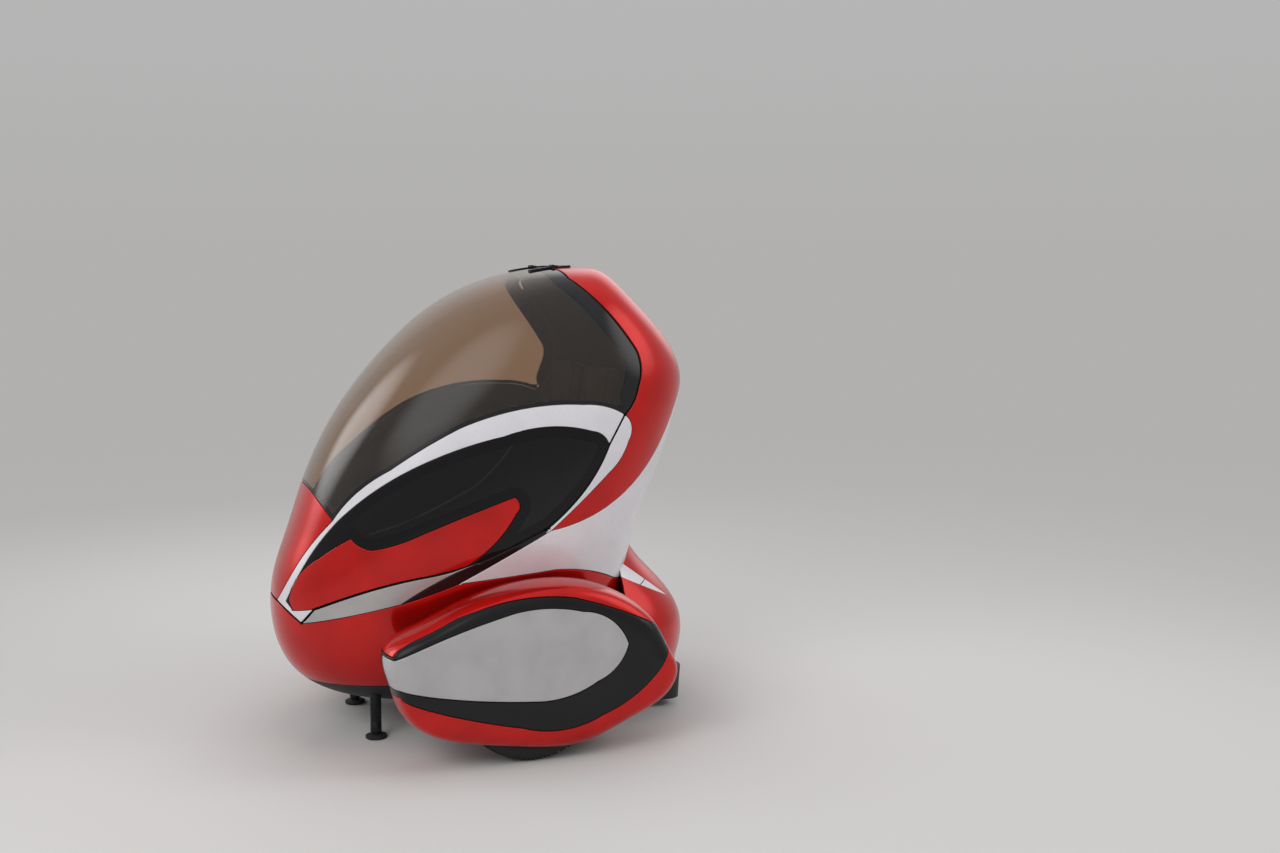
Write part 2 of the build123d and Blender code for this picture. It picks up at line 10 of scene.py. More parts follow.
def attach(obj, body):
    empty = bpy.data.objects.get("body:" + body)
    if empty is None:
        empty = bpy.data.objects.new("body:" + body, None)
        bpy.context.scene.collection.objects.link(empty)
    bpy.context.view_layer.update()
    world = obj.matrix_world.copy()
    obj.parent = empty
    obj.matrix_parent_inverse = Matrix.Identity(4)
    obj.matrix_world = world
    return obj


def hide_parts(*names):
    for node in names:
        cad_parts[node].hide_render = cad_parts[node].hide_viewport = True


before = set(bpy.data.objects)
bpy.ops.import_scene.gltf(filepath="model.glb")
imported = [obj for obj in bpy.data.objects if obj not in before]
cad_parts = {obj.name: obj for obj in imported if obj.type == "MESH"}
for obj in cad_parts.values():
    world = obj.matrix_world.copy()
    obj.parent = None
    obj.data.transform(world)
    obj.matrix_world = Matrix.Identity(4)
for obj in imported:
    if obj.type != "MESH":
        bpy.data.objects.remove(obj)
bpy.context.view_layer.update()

body = {
    # height, foremost x, rearmost x, half width and x of the widest place, as in the CAD source
    "sections": [
        (0.120, 0.470, -0.300, 0.250, 0.000), (0.200, 0.655, -0.450, 0.340, 0.000),
        (0.300, 0.725, -0.500, 0.395, 0.000), (0.420, 0.750, -0.520, 0.435, 0.000),
        (0.550, 0.740, -0.530, 0.465, 0.000), (0.700, 0.690, -0.560, 0.495, -0.020),
        (0.900, 0.620, -0.640, 0.515, -0.080), (1.100, 0.520, -0.710, 0.520, -0.150),
        (1.250, 0.412, -0.735, 0.505, -0.220), (1.400, 0.272, -0.660, 0.465, -0.270),
        (1.520, 0.115, -0.545, 0.405, -0.300), (1.590, -0.040, -0.475, 0.330, -0.320),
        (1.625, -0.180, -0.430, 0.240, -0.340), (1.638, -0.280, -0.400, 0.120, -0.350),
    ],
    "frontFullness": 2.3,
    "rearFullness": 2.6,
    "crownX": -0.345,
    "crownRise": 0.0015,
    "crownReach": 0.06,
    "spacing": 0.014,
    "wall": 0.018,
    "glassWall": 0.006,
    "panelGap": 0.001,
    "shutGap": 0.004,
    "edgeRound": 0.002,
}

# Side outlines in x and z, in millimetres as in the CAD source: chains of arcs
borderTop = (-254, 1597)
roofSeam = (-234, 1750)
ringBackOuter = (-395, 1131)
ringBackInner = (-336, 1030)
stripTip = (120, 650)
tipSeamTop = (641, 486)
tipSeamLow = (678, 430)
noseSeam = (742, 488)
noseBeyond = (900, 560)
lineFoot = (720, 497)
lineKnee = (701, 470)
tailFoot = (-128, 745)
tailBeyond = (-800, 1420)
sillCorner = (374, 512)
waistCorner = (187, 577)
frontSeamFront = (900, 1342)
lowerRear = (-455, 518)
tubTop = 200
border = [borderTop, (-368, 1469), (-452, 1350), (-464, 1300), (-450, 1225), (-425, 1165), ringBackOuter]
shutLine = [ringBackInner, (-281, 925), (-208, 836), (-163, 793), (-116, 755), (0, 700), stripTip,
            (215, 622), (314, 602), (480, 558), tipSeamTop]
ringOuter = [noseSeam, (678, 633), (574, 787), (500, 885), (400, 963), (290, 1040), (175, 1105),
             (-40, 1166), (-240, 1172), (-330, 1160), ringBackOuter]
ringInner = [ringBackInner, (-318, 1058), (-271, 1080), (-120, 1102), (38, 1074), (190, 1032),
             (334, 968), (460, 884), (558, 790), (662, 632), lineFoot]
doorFront = [(712, 505), (672, 606), (617, 663), (572, 702), (525, 734)]
doorTop = [(525, 734), (492, 706), (459, 699), (390, 718), (313, 750), (133, 823), (6, 868),
           (-13, 848), (-2, 812), (60, 722), (160, 640)]
ringTail = [ringBackOuter, (-424, 1090), (-414, 1039), (-385, 980), (-337, 930), (-240, 842), tailFoot]
pillarLow = [tailFoot, (-455, 887), (-640, 1130)]
sillLow = [tailFoot, (44, 653), waistCorner]
sillBottom = [waistCorner, (282, 542), sillCorner]
sillFront = [sillCorner, (262, 584), stripTip]
stripLow = [tipSeamLow, (540, 468), sillCorner]
waistLow = [waistCorner, (20, 590), (-150, 602), (-290, 580), (-405, 531)]


def unit(vectors):
    return vectors / np.linalg.norm(vectors, axis=-1, keepdims=True)


def runningSum(steps):
    return np.concatenate([[0], np.cumsum(steps)])


def lengthsAlong(points):
    # how far along a row of points each one lies
    return runningSum(np.linalg.norm(np.diff(points, axis=0), axis=1))


def arcs(chain, step=8.0, widestTurn=0.12):
    # points along arcs through every three points of the chain
    points = [np.array(chain[0], float)]
    for index in range(0, len(chain) - 2, 2):
        a, b, c = (np.array(p, float) for p in chain[index:index + 3])
        d = 2 * (a[0] * (b[1] - c[1]) + b[0] * (c[1] - a[1]) + c[0] * (a[1] - b[1]))
        length = np.linalg.norm(b - a) + np.linalg.norm(c - b)
        count = max(3, int(np.ceil(length / step)))
        if abs(d) < 1e-3 * length ** 2:
            half = max(1, count // 2)
            points += [a + (b - a) * (k + 1) / half for k in range(half)]
            points += [b + (c - b) * (k + 1) / half for k in range(half)]
            continue
        ux = ((a @ a) * (b[1] - c[1]) + (b @ b) * (c[1] - a[1]) + (c @ c) * (a[1] - b[1])) / d
        uy = ((a @ a) * (c[0] - b[0]) + (b @ b) * (a[0] - c[0]) + (c @ c) * (b[0] - a[0])) / d
        centre = np.array((ux, uy))
        radius = np.linalg.norm(a - centre)
        t0, t1, t2 = (np.arctan2(*(p - centre)[::-1]) for p in (a, b, c))
        turn = (t2 - t0) % (2 * np.pi)
        if (t1 - t0) % (2 * np.pi) > turn:
            turn -= 2 * np.pi
        count = max(count, int(np.ceil(abs(turn) / widestTurn)))
        for k in range(count):
            t = t0 + turn * (k + 1) / count
            points.append(centre + radius * np.array((np.cos(t), np.sin(t))))
    return [tuple(p) for p in points]


def line(*corners, step=8.0):
    # points along straight lines between the corners
    points = [np.array(corners[0], float)]
    for a, b in zip(corners, corners[1:]):
        a, b = np.array(a, float), np.array(b, float)
        count = max(1, int(np.ceil(np.linalg.norm(b - a) / step)))
        points += [a + (b - a) * (k + 1) / count for k in range(count)]
    return [tuple(p) for p in points]


def spline(knots, values):
    # a smooth curve through the values, straight at its ends
    knots, values = np.asarray(knots, float), np.asarray(values, float)
    count = len(knots)
    h = np.diff(knots)
    matrix = np.eye(count)
    right = np.zeros_like(values)
    for i in range(1, count - 1):
        matrix[i, i - 1:i + 2] = h[i - 1], 2 * (h[i - 1] + h[i]), h[i]
        right[i] = 6 * ((values[i + 1] - values[i]) / h[i] - (values[i] - values[i - 1]) / h[i - 1])
    bend = np.linalg.solve(matrix, right)

    def at(t):
        t = np.clip(np.asarray(t, float), knots[0], knots[-1])
        i = np.clip(np.searchsorted(knots, t, side="right") - 1, 0, count - 2)
        w = h[i]
        a, b = (knots[i + 1] - t) / w, (t - knots[i]) / w
        shape = (...,) + (None,) * (values.ndim - 1)
        a, b, w = a[shape], b[shape], w[shape]
        return (a * values[i] + b * values[i + 1]
                + ((a ** 3 - a) * bend[i] + (b ** 3 - b) * bend[i + 1]) * w ** 2 / 6)
    return at


def paired(first, second):
    return np.broadcast_arrays(np.asarray(first, float), np.asarray(second, float))


def ovalPoint(row, angle):
    # a point of one rounded horizontal section
    front, rear, halfWidth, widest = row[..., 1], row[..., 2], row[..., 3], row[..., 4]
    c, s = np.cos(angle), np.sin(angle)
    power = 2 / np.where(c >= 0, body["frontFullness"], body["rearFullness"])
    reach = np.where(c >= 0, front - widest, widest - rear)
    x = widest + reach * np.sign(c) * np.abs(c) ** power
    y = halfWidth * np.sign(s) * np.abs(s) ** power
    return np.stack([x, y, row[..., 0]], -1)


sections = np.array(body["sections"])
sixteenths = np.arange(16) * np.pi / 8
sectionRings = np.array([ovalPoint(np.tile(row, (16, 1)), sixteenths) for row in sections])
sectionKnots = runningSum(np.linalg.norm(np.diff(sectionRings, axis=0), axis=2).mean(axis=1))
rowAt = spline(sectionKnots, sections)
topKnot = sectionKnots[-1]
crownKnot = topKnot + body["crownReach"]


def bodyPoint(climb, angle):
    # the body's skin at a climb from the lowest section to the crown, and an angle from the nose
    climb, angle = paired(climb, angle)
    point = ovalPoint(rowAt(np.minimum(climb, topKnot)), angle)
    over = np.clip((climb - topKnot) / (crownKnot - topKnot), 0, 1)[..., None]
    crown = np.array((body["crownX"], 0, sections[-1][0]))
    point = crown + (point - crown) * (1 - over)
    point[..., 2:] += body["crownRise"] * (1 - (1 - over) ** 2)
    return point


def bodyNormal(climb, angle, climbStep=0.004, angleStep=0.02):
    climb, angle = paired(climb, angle)
    up = bodyPoint(np.minimum(climb + climbStep, crownKnot), angle) - bodyPoint(climb - climbStep, angle)
    sideways = bodyPoint(climb, angle + angleStep) - bodyPoint(climb, angle - angleStep)
    normal = np.cross(sideways, up)
    size = np.linalg.norm(normal, axis=-1, keepdims=True)
    normal = np.where(size > 1e-9, normal / np.maximum(size, 1e-12), (0, 0, 1))
    high = np.clip((climb - topKnot) / (crownKnot - topKnot), 0, 1)[..., None]
    return unit(normal * (1 - high) + np.array((0, 0, 1)) * high)


climbTable = np.linspace(0, topKnot, 4000)
rowTable = rowAt(climbTable)


def sideToSkin(points, longest=1.2, halvings=40):
    # side-view points in millimetres to (climb, angle) on the left half, cut at the silhouette
    lowest, highest = rowTable[0, 0], rowTable[-1, 0]

    def raw(p):
        # the climb, and x as a share of the way from the widest place to the nose or the tail
        x, z = p[0] / 1000, p[1] / 1000
        climb = np.interp(z, rowTable[:, 0], climbTable)
        row = rowAt(climb)
        return climb, (x - row[4]) / (row[1] - row[4] if x >= row[4] else row[4] - row[2])

    def inside(p):
        return lowest <= p[1] / 1000 <= highest and abs(raw(p)[1]) < 1

    def skin(p):
        climb, share = raw(p)
        power = (body["frontFullness"] if share >= 0 else body["rearFullness"]) / 2
        c = np.sign(share) * min(abs(share), 1) ** power
        return climb, float(np.arccos(np.clip(c, -1, 1)))

    def crossing(a, b):
        # where a step leaves or enters the silhouette
        a, b = np.array(a, float), np.array(b, float)
        startsInside = inside(a)
        for _ in range(halvings):
            middle = (a + b) / 2
            if inside(middle) == startsInside:
                a = middle
            else:
                b = middle
        edge = a if inside(a) else b
        if lowest + 1e-4 < edge[1] / 1000 < highest - 1e-4:
            climb, share = raw(edge)
            return edge, (climb, 0.0 if share > 0 else np.pi)
        return edge, skin(edge)

    def between(a, b, depth=12):
        # more samples where a short side-view step is a long way on the skin
        if not depth or np.linalg.norm(bodyPoint(*a[1]) - bodyPoint(*b[1])) < longest * body["spacing"]:
            return []
        place = (a[0] + b[0]) / 2
        middle = (place, skin(place))
        return between(a, middle, depth - 1) + [middle] + between(middle, b, depth - 1)

    kept = []
    for i, p in enumerate(points):
        if i and inside(p) != inside(points[i - 1]):
            kept.append(crossing(points[i - 1], p))
        if inside(p):
            kept.append((np.array(p, float), skin(p)))
    full = kept[:1]
    for a, b in zip(kept, kept[1:]):
        full += between(a, b) + [b]
    return [places for _, places in full]


def polygonMask(points, polygon):
    # which side-view points lie inside a closed outline
    x, z = points[:, 0], points[:, 1]
    inside = np.zeros(len(points), bool)
    for (x0, z0), (x1, z1) in zip(polygon, polygon[1:] + polygon[:1]):
        if z0 == z1:
            continue
        cross = (z0 > z) != (z1 > z)
        inside ^= cross & (x < (x1 - x0) * (z - z0) / (z1 - z0) + x0)
    return inside


# Outlines that share the body out, as the CAD source does: later ones win
lowerRearFoot = (lowerRear[0], tubTop)
fixedOutlines = {
    "lower": ([noseBeyond, noseSeam, tipSeamLow] + arcs(stripLow) + arcs(sillBottom[::-1]) + arcs(waistLow)
              + [lowerRear, lowerRearFoot, (900, tubTop)]),
    "strip": [stripTip, (200, 700), (700, 560), tipSeamTop, tipSeamLow] + arcs(stripLow) + arcs(sillFront),
    "sill": arcs(sillLow) + arcs(sillBottom) + arcs(sillFront) + [(100, 745)],
    "waist": (arcs(sillLow) + arcs(waistLow) + [(-900, 400), (-900, 1601), pillarLow[-1]]
              + arcs(pillarLow[::-1])),
    "rearShell": arcs(pillarLow) + [tailBeyond, (-800, 1800), (0, 1800), (0, 745)],
    "ringTail": arcs(ringTail) + [(0, 745), (0, 1131)],
}
canopyOutline = (arcs(border) + line(ringBackOuter, ringBackInner) + arcs(shutLine)
                 + [tipSeamLow, noseSeam, noseBeyond, (900, 1750), roofSeam])
canopyOutlines = {
    "door": arcs(doorFront) + arcs(doorTop) + [(160, 400), (600, 400), tipSeamTop, lineKnee],
    "windscreen": arcs(ringOuter[2:]) + [(-600, 1131), (-600, 1800), (900, 1800), frontSeamFront],
    "nose": arcs(ringOuter[:3]) + [frontSeamFront, noseBeyond],
    "ring": (arcs(ringOuter) + line(ringBackOuter, ringBackInner) + arcs(ringInner)
             + [lineKnee, tipSeamTop, tipSeamLow]),
}
bodyCurves = [
    arcs(border), line(borderTop, roofSeam), line(ringBackOuter, ringBackInner),
    arcs(shutLine), line(tipSeamTop, tipSeamLow, noseSeam, noseBeyond), arcs(ringOuter), arcs(ringInner),
    line(lineFoot, lineKnee, tipSeamTop), line(ringOuter[2], frontSeamFront), arcs(doorFront),
    arcs(doorTop), line(lineKnee, doorFront[0]), arcs(ringTail), arcs(pillarLow),
    line(pillarLow[-1], tailBeyond), arcs(sillLow), arcs(sillBottom), arcs(sillFront), arcs(stripLow),
    arcs(waistLow), line((-900, 400), waistLow[-1]), line(lowerRear, lowerRearFoot, (900, tubTop)),
]


def bodyLabels(points):
    # the name of the panel that each side-view point belongs to
    names = np.full(len(points), "tub", dtype=object)
    for name, outline in fixedOutlines.items():
        names[polygonMask(points, outline)] = name
    canopy = polygonMask(points, canopyOutline)
    names[canopy] = "sideGlass"
    for name, outline in canopyOutlines.items():
        names[canopy & polygonMask(points, outline)] = name
    return names


def newPiece(name, mesh):
    piece = bpy.data.objects.new(name, mesh)
    bpy.context.scene.collection.objects.link(piece)
    return piece


def finishedMesh(piece):
    # the mesh as the piece's modifiers leave it
    return bpy.data.meshes.new_from_object(piece.evaluated_get(bpy.context.evaluated_depsgraph_get()))


def nearTable(places, ids):
    # a lookup of the nearest of some places
    near = kdtree.KDTree(len(places))
    for place, index in zip(places, ids):
        near.insert(place, index)
    near.balance()
    return near


def edgeTable(triangles):
    # every edge of the triangles with the one or two triangles beside it
    table = {}
    for t, tri in enumerate(triangles):
        for k in range(3):
            a, b = tri[k], tri[(k + 1) % 3]
            table.setdefault((min(a, b), max(a, b)), []).append(t)
    return table


def shareOut(curves, form, inner, spacing, crowded=0.55):
    # one triangulation of a skin with every curve in it
    flat, edges, samples = [], [], []
    for curve in curves:
        start = len(flat)
        flat += [form["flat"](*p) for p in curve]
        samples += curve
        edges += [(i, i + 1) for i in range(start, len(flat) - 1)]
    near = nearTable(form["point"](*np.array(samples).T), range(len(samples)))
    for p, place in zip(inner, form["point"](*inner.T)):
        if near.find(place)[2] > crowded * spacing:
            flat.append(form["flat"](*p))
    result = delaunay_2d_cdt([Vector(p) for p in flat], edges, [], 0, 1e-7, False)
    verts = np.array([tuple(v) for v in result[0]])
    triangles = np.array([tuple(f) for f in result[2] if len(f) == 3])
    sideOne, sideTwo = (verts[triangles[:, k]] - verts[triangles[:, 0]] for k in (1, 2))
    area = np.abs(sideOne[:, 0] * sideTwo[:, 1] - sideOne[:, 1] * sideTwo[:, 0])
    triangles = triangles[area > 1e-9]
    at = form["unflat"](verts)
    return {"at": at, "points": form["point"](*at), "normals": form["normal"](*at),
            "triangles": triangles, "edges": edgeTable(triangles)}


def spreadGrid(point, reach, turns, fewest, offsets, spacing):
    # evenly spread places on a skin, ring by ring
    grid = []
    for k, first in enumerate(np.arange(spacing, reach - spacing / 2, spacing)):
        along = lengthsAlong(point(first, turns))
        count = max(fewest, int(along[-1] / spacing))
        places = (np.arange(count) + offsets[k % 2]) / count * along[-1]
        grid += [(first, t) for t in np.interp(places, along, turns)]
    return grid


def narrowing(points, inward, inset, edge):
    # how much of its inset each edge point may keep where a panel runs out to a thin tip
    room = np.ones(len(points))
    near = nearTable(points[edge], edge)
    for v in edge:
        for place, other, width in near.find_range(points[v], 2.5 * inset[v]):
            if inward[v] @ inward[other] < -0.3:
                room[v] = min(room[v], 0.8 * width / (inset[v] + inset[other]))
    return room


# seams up to this wide, between panels that never part, are closed at their back
closedGap = 0.0015
closedShare = 0.2


def looseMesh(name, verts, faces, corners, slots):
    # a piece from plain lists, with its unused points left out and its own normals
    used = np.unique(np.concatenate([np.array(f) for f in faces]))
    place = np.full(len(verts), -1)
    place[used] = np.arange(len(used))
    mesh = bpy.data.meshes.new(name)
    mesh.from_pydata([tuple(v) for v in verts[used]], [], [tuple(int(place[v]) for v in f) for f in faces])
    mesh.polygons.foreach_set("material_index", np.array(slots, np.int32))
    mesh.polygons.foreach_set("use_smooth", np.ones(len(faces), bool))
    flat = np.array([c for cs in corners for c in cs], float)
    flat /= np.maximum(np.linalg.norm(flat, axis=1, keepdims=True), 1e-9)
    mesh.normals_split_custom_set([tuple(c) for c in flat])
    mesh.validate(verbose=False)
    mesh.update()
    return newPiece(name, mesh)


def panelRims(share, chosen, lookup, p, n, gapOf, onMiddle):
    # a panel's edges in order, with the gap and the ways inward at each of their points
    gap, intos, rims = np.zeros(len(p)), {}, []
    for (a, b), beside in share["edges"].items():
        mine = [t for t in beside if chosen[t]]
        if len(mine) != 1 or (onMiddle is not None and onMiddle[a] and onMiddle[b]):
            continue
        tri = [lookup[v] for v in share["triangles"][mine[0]]]
        i, j = lookup[a], lookup[b]
        third = [v for v in tri if v not in (i, j)][0]
        if tri[(tri.index(i) + 1) % 3] != j:
            i, j = j, i
        into = np.cross(n[i] + n[j], p[j] - p[i])
        into /= max(np.linalg.norm(into), 1e-12)
        if into @ (p[third] - p[i]) < 0:
            into = -into
        other = [t for t in beside if not chosen[t]]
        for v in (i, j):
            intos.setdefault(v, []).append(into)
            gap[v] = max(gap[v], gapOf(other[0] if other else None))
        rims.append((i, j))
    return gap, intos, rims


def panelMesh(name, share, chosen, gapOf, wall, edgeRound, mirrored=False, flip=False, onMiddle=None):
    # a panel with rounded edges and a wall, from the triangles that it takes of a shared-out skin
    used, index = np.unique(share["triangles"][chosen], return_inverse=True)
    lookup = {v: i for i, v in enumerate(used)}
    count = len(used)
    p, n = share["points"][used].copy(), share["normals"][used].copy()
    middle = np.zeros(count, bool) if onMiddle is None else onMiddle[used]
    gap, intos, rims = panelRims(share, chosen, lookup, p, n, gapOf, onMiddle)
    inward = np.zeros((count, 3))
    for v, ways in intos.items():
        mean = np.mean(ways, axis=0)
        if middle[v]:
            mean[1] = 0
        size = np.linalg.norm(mean)
        if size < 0.3:
            mean, size = ways[0], 1.0
        mean = mean / size
        inward[v] = mean / max(0.45, min(1.0, float(np.mean([mean @ way for way in ways]))))
    if middle.any():
        n[middle, 1] = p[middle, 1] = 0
        n[middle] = unit(n[middle])
    out = -inward / np.maximum(np.linalg.norm(inward, axis=1, keepdims=True), 1e-9)
    edge = np.array(sorted(intos))
    room = narrowing(p, -out, gap + edgeRound, edge)
    gaps, r = (gap * room)[:, None], (edgeRound * room)[:, None]
    backGaps = np.where(gaps > closedGap, gaps, closedShare * gaps)
    bends = np.radians((0, 30, 60, 90))
    rows = [p + inward * (gaps + r * (1 - np.sin(a))) - n * r * (1 - np.cos(a)) for a in bends]
    rowNormals = [n * np.cos(a) + out * np.sin(a) for a in bends] + [out]
    verts = np.concatenate([rows[0], p + inward * backGaps - n * wall] + [row[edge] for row in rows[1:]])
    levels = np.zeros((5, count), int)
    levels[0], levels[4] = np.arange(count), np.arange(count, 2 * count)
    for k in (1, 2, 3):
        levels[k, edge] = 2 * count + (k - 1) * len(edge) + np.arange(len(edge))
    faces, corners, slots = [], [], []
    for a, b, c in index.reshape(-1, 3):
        faces += [(a, b, c), (count + a, count + c, count + b)]
        corners += [(n[a], n[b], n[c]), (-n[a], -n[c], -n[b])]
        slots += [0, 1]
    for i, j in rims:
        for k in range(4):
            faces.append((levels[k + 1][i], levels[k + 1][j], levels[k][j], levels[k][i]))
            corners.append((rowNormals[k + 1][i], rowNormals[k + 1][j], rowNormals[k][j], rowNormals[k][i]))
            slots.append(int(k == 3))
    if mirrored or flip:
        turned = verts * (1, -1, 1)
        turnedFaces = [f[::-1] for f in faces]
        turnedCorners = [[np.array(c) * (1, -1, 1) for c in cs[::-1]] for cs in corners]
        if flip:
            return looseMesh(name, turned, turnedFaces, turnedCorners, slots)
        target = np.arange(len(verts)) + len(verts)
        onLine = np.abs(verts[:, 1]) < 1e-5
        verts[onLine, 1] = 0
        target[onLine] = np.nonzero(onLine)[0]
        faces += [tuple(target[v] for v in f) for f in turnedFaces]
        return looseMesh(name, np.concatenate([verts, turned]), faces, corners + turnedCorners, slots + slots)
    return looseMesh(name, verts, faces, corners, slots)


bodyForm = {
    "point": bodyPoint,
    "normal": bodyNormal,
    "flat": lambda climb, angle: ((crownKnot - climb) * np.cos(angle), (crownKnot - climb) * np.sin(angle)),
    "unflat": lambda v: (crownKnot - np.hypot(v[:, 0], v[:, 1]),
                         np.arctan2(np.maximum(v[:, 1], 0), v[:, 0])),
}
spacing = body["spacing"]
skinCurves = [c for c in map(sideToSkin, bodyCurves) if len(c) > 1]
for end in (0.0, np.pi):
    skinCurves.append([(c, end) for c in np.arange(0, crownKnot - 1e-4, spacing)] + [(crownKnot - 1e-4, end)])
skinCurves.append([(0.0, a) for a in np.linspace(0, np.pi, 90)])
bodyGrid = spreadGrid(bodyPoint, crownKnot, np.linspace(0, np.pi, 721), 2, (0.25, 0.5), spacing)
skin = shareOut(skinCurves, bodyForm, np.array(bodyGrid), spacing)
climbs, angles = skin["at"]
onMiddle = (angles < 1e-5) | (angles > np.pi - 1e-5) | (climbs > crownKnot - 1e-3)
labels = bodyLabels(skin["points"][skin["triangles"]].mean(axis=1)[:, [0, 2]] * 1000)
print("skin shared out:", {k: int((labels == k).sum()) for k in sorted(set(labels))})


# Materials: procedural, on object coordinates
def feed(node, inputs):
    # numbers, colours or other nodes' values for a node's inputs
    for key, value in inputs.items():
        target = node.inputs[key]
        if isinstance(value, bpy.types.NodeSocket):
            node.id_data.links.new(value, target)
        else:
            target.default_value = (*value, 1) if target.type == "RGBA" else value


def newNode(tree, kind, inputs, output=0, **settings):
    node = tree.nodes.new(kind)
    for key, value in settings.items():
        setattr(node, key, value)
    feed(node, inputs)
    return node.outputs[output]


def nodeOf(tree, kind):
    return next(n for n in tree.nodes if n.type == kind)


def nodeMaterial(name):
    material = bpy.data.materials.new(name)
    material.use_nodes = True
    tree = material.node_tree
    place = newNode(tree, "ShaderNodeTexCoord", {}, "Object")
    return material, tree, nodeOf(tree, "BSDF_PRINCIPLED"), place


def noise(tree, place, scale, detail):
    return newNode(tree, "ShaderNodeTexNoise", {"Scale": scale, "Detail": detail, "Vector": place}, "Fac")


def spread(tree, source, low, high, fromLow=0.3, fromHigh=0.7, shape="LINEAR"):
    # a value mapped to a range
    inputs = {"From Min": fromLow, "From Max": fromHigh, "To Min": low, "To Max": high, "Value": source}
    return newNode(tree, "ShaderNodeMapRange", inputs, "Result", interpolation_type=shape)


def maths(tree, operation, *values, clamp=False):
    return newNode(tree, "ShaderNodeMath", dict(enumerate(values)), operation=operation, use_clamp=clamp)


def blendColours(tree, factor, first, second):
    inputs = {"Factor": factor, "A": first, "B": second}
    return newNode(tree, "ShaderNodeMix", inputs, "Result", data_type="RGBA")


def bumps(tree, height, strength, distance):
    inputs = {"Strength": strength, "Distance": distance, "Height": height}
    return newNode(tree, "ShaderNodeBump", inputs, "Normal")


def mottled(name, first, second, scale, detail):
    # a material whose colour drifts between two tones
    material, tree, shader, place = nodeMaterial(name)
    mottle = noise(tree, place, scale, detail)
    feed(shader, {"Base Color": blendColours(tree, spread(tree, mottle, 0, 1), first, second)})
    return material, tree, shader, place, mottle


def paint(name, first, second, metallic, roughness, flake=0.0, coat=1.0, level=0.25):
    # car paint under a clear coat: fine flakes, faint mottling and orange peel
    material, tree, shader, place, mottle = mottled(name, first, second, 7, 4)
    flakes = newNode(tree, "ShaderNodeTexVoronoi", {"Scale": 900, "Vector": place}, "Color")
    feed(shader, {
        "Roughness": spread(tree, flakes, roughness - flake, roughness + flake, 0, 1),
        "Normal": bumps(tree, noise(tree, place, 140, 2), 0.02, 0.001),
        "Metallic": metallic, "Specular IOR Level": level, "Coat Weight": coat, "Coat Roughness": 0.03,
    })
    return material


def plastic(name, first, second, roughness, grain, strength=0.25, swing=0.05):
    # moulded plastic with a fine grain
    material, tree, shader, place, mottle = mottled(name, first, second, 12, 5)
    feed(shader, {"Roughness": spread(tree, mottle, roughness - swing, roughness + swing),
                  "Normal": bumps(tree, noise(tree, place, grain, 2), strength, 0.0006)})
    return material


def metal(name, first, second, roughness, scale=60, strength=0.15, swing=0.07):
    # satin or cast metal
    material, tree, shader, place, mottle = mottled(name, first, second, scale, 6)
    feed(shader, {"Roughness": spread(tree, mottle, roughness - swing, roughness + swing), "Metallic": 0.9,
                  "Normal": bumps(tree, mottle, strength, 0.0005)})
    return material


def tintedGlass(name, tint, coat=0.2, level=0.5):
    # tinted glass with a black border; edgeShare on the mesh is 1 where the border ends
    material, tree, shader, place = nodeMaterial(name)
    edge = newNode(tree, "ShaderNodeAttribute", {}, "Fac", attribute_name="edgeShare")
    tinted = spread(tree, edge, 0, 1, 0.97, 1.0)
    feed(shader, {
        "Base Color": blendColours(tree, tinted, (0.004, 0.004, 0.005), tint),
        "Transmission Weight": spread(tree, edge, 0, 1, 0.94, 0.97),
        "Roughness": spread(tree, noise(tree, place, 3, 3), 0.0, 0.02),
        "IOR": 1.45, "Specular IOR Level": level, "Coat Weight": coat,
    })
    return material


redTones = (0.46, 0.0040, 0.0025), (0.58, 0.0065, 0.004)


def tailMaterial():
    # red, with a pale spike over the bumper's shoulder: the waist's pearl running out to a point, which is
    # also a painted highlight there
    material = paint("tailPaint", *redTones, 0.6, 0.32, 0.06, 0.6, 0.1)
    tree = material.node_tree
    place = newNode(tree, "ShaderNodeTexCoord", {}, "Object")
    apart = newNode(tree, "ShaderNodeSeparateXYZ", {0: place}).node.outputs

    def above(point, slope, soft=0.00025):
        # 1 over a slanting line in the side view and 0 under it
        slant = maths(tree, "MULTIPLY_ADD", apart["X"], -slope, slope * point[0] - point[1])
        return spread(tree, maths(tree, "ADD", slant, apart["Z"]), 0, 1, -soft, soft)

    def outOf(first, second):
        return maths(tree, "SUBTRACT", above(*first), above(*second), clamp=True)

    shader = nodeOf(tree, "BSDF_PRINCIPLED")
    red = shader.inputs["Base Color"].links[0].from_socket
    # the spike's mask: pearl paint that also stands for a painted highlight on the bumper's shoulder
    spike = outOf(((-0.6444, 0.4299), 0.48), ((-0.4835, 0.5493), 0.742))
    seam = outOf(((-0.5165, 0.4900), -0.36), ((-0.5165, 0.4930), -0.36))
    pearlAndHighlight = blendColours(tree, spike, red, (0.64, 0.63, 0.66))
    dark = maths(tree, "MULTIPLY", spike, seam, clamp=True)
    feed(shader, {"Metallic": spread(tree, spike, 0.6, 0.15, 0, 1),
                  "Base Color": blendColours(tree, dark, pearlAndHighlight, (0.004, 0.004, 0.004))})
    return material


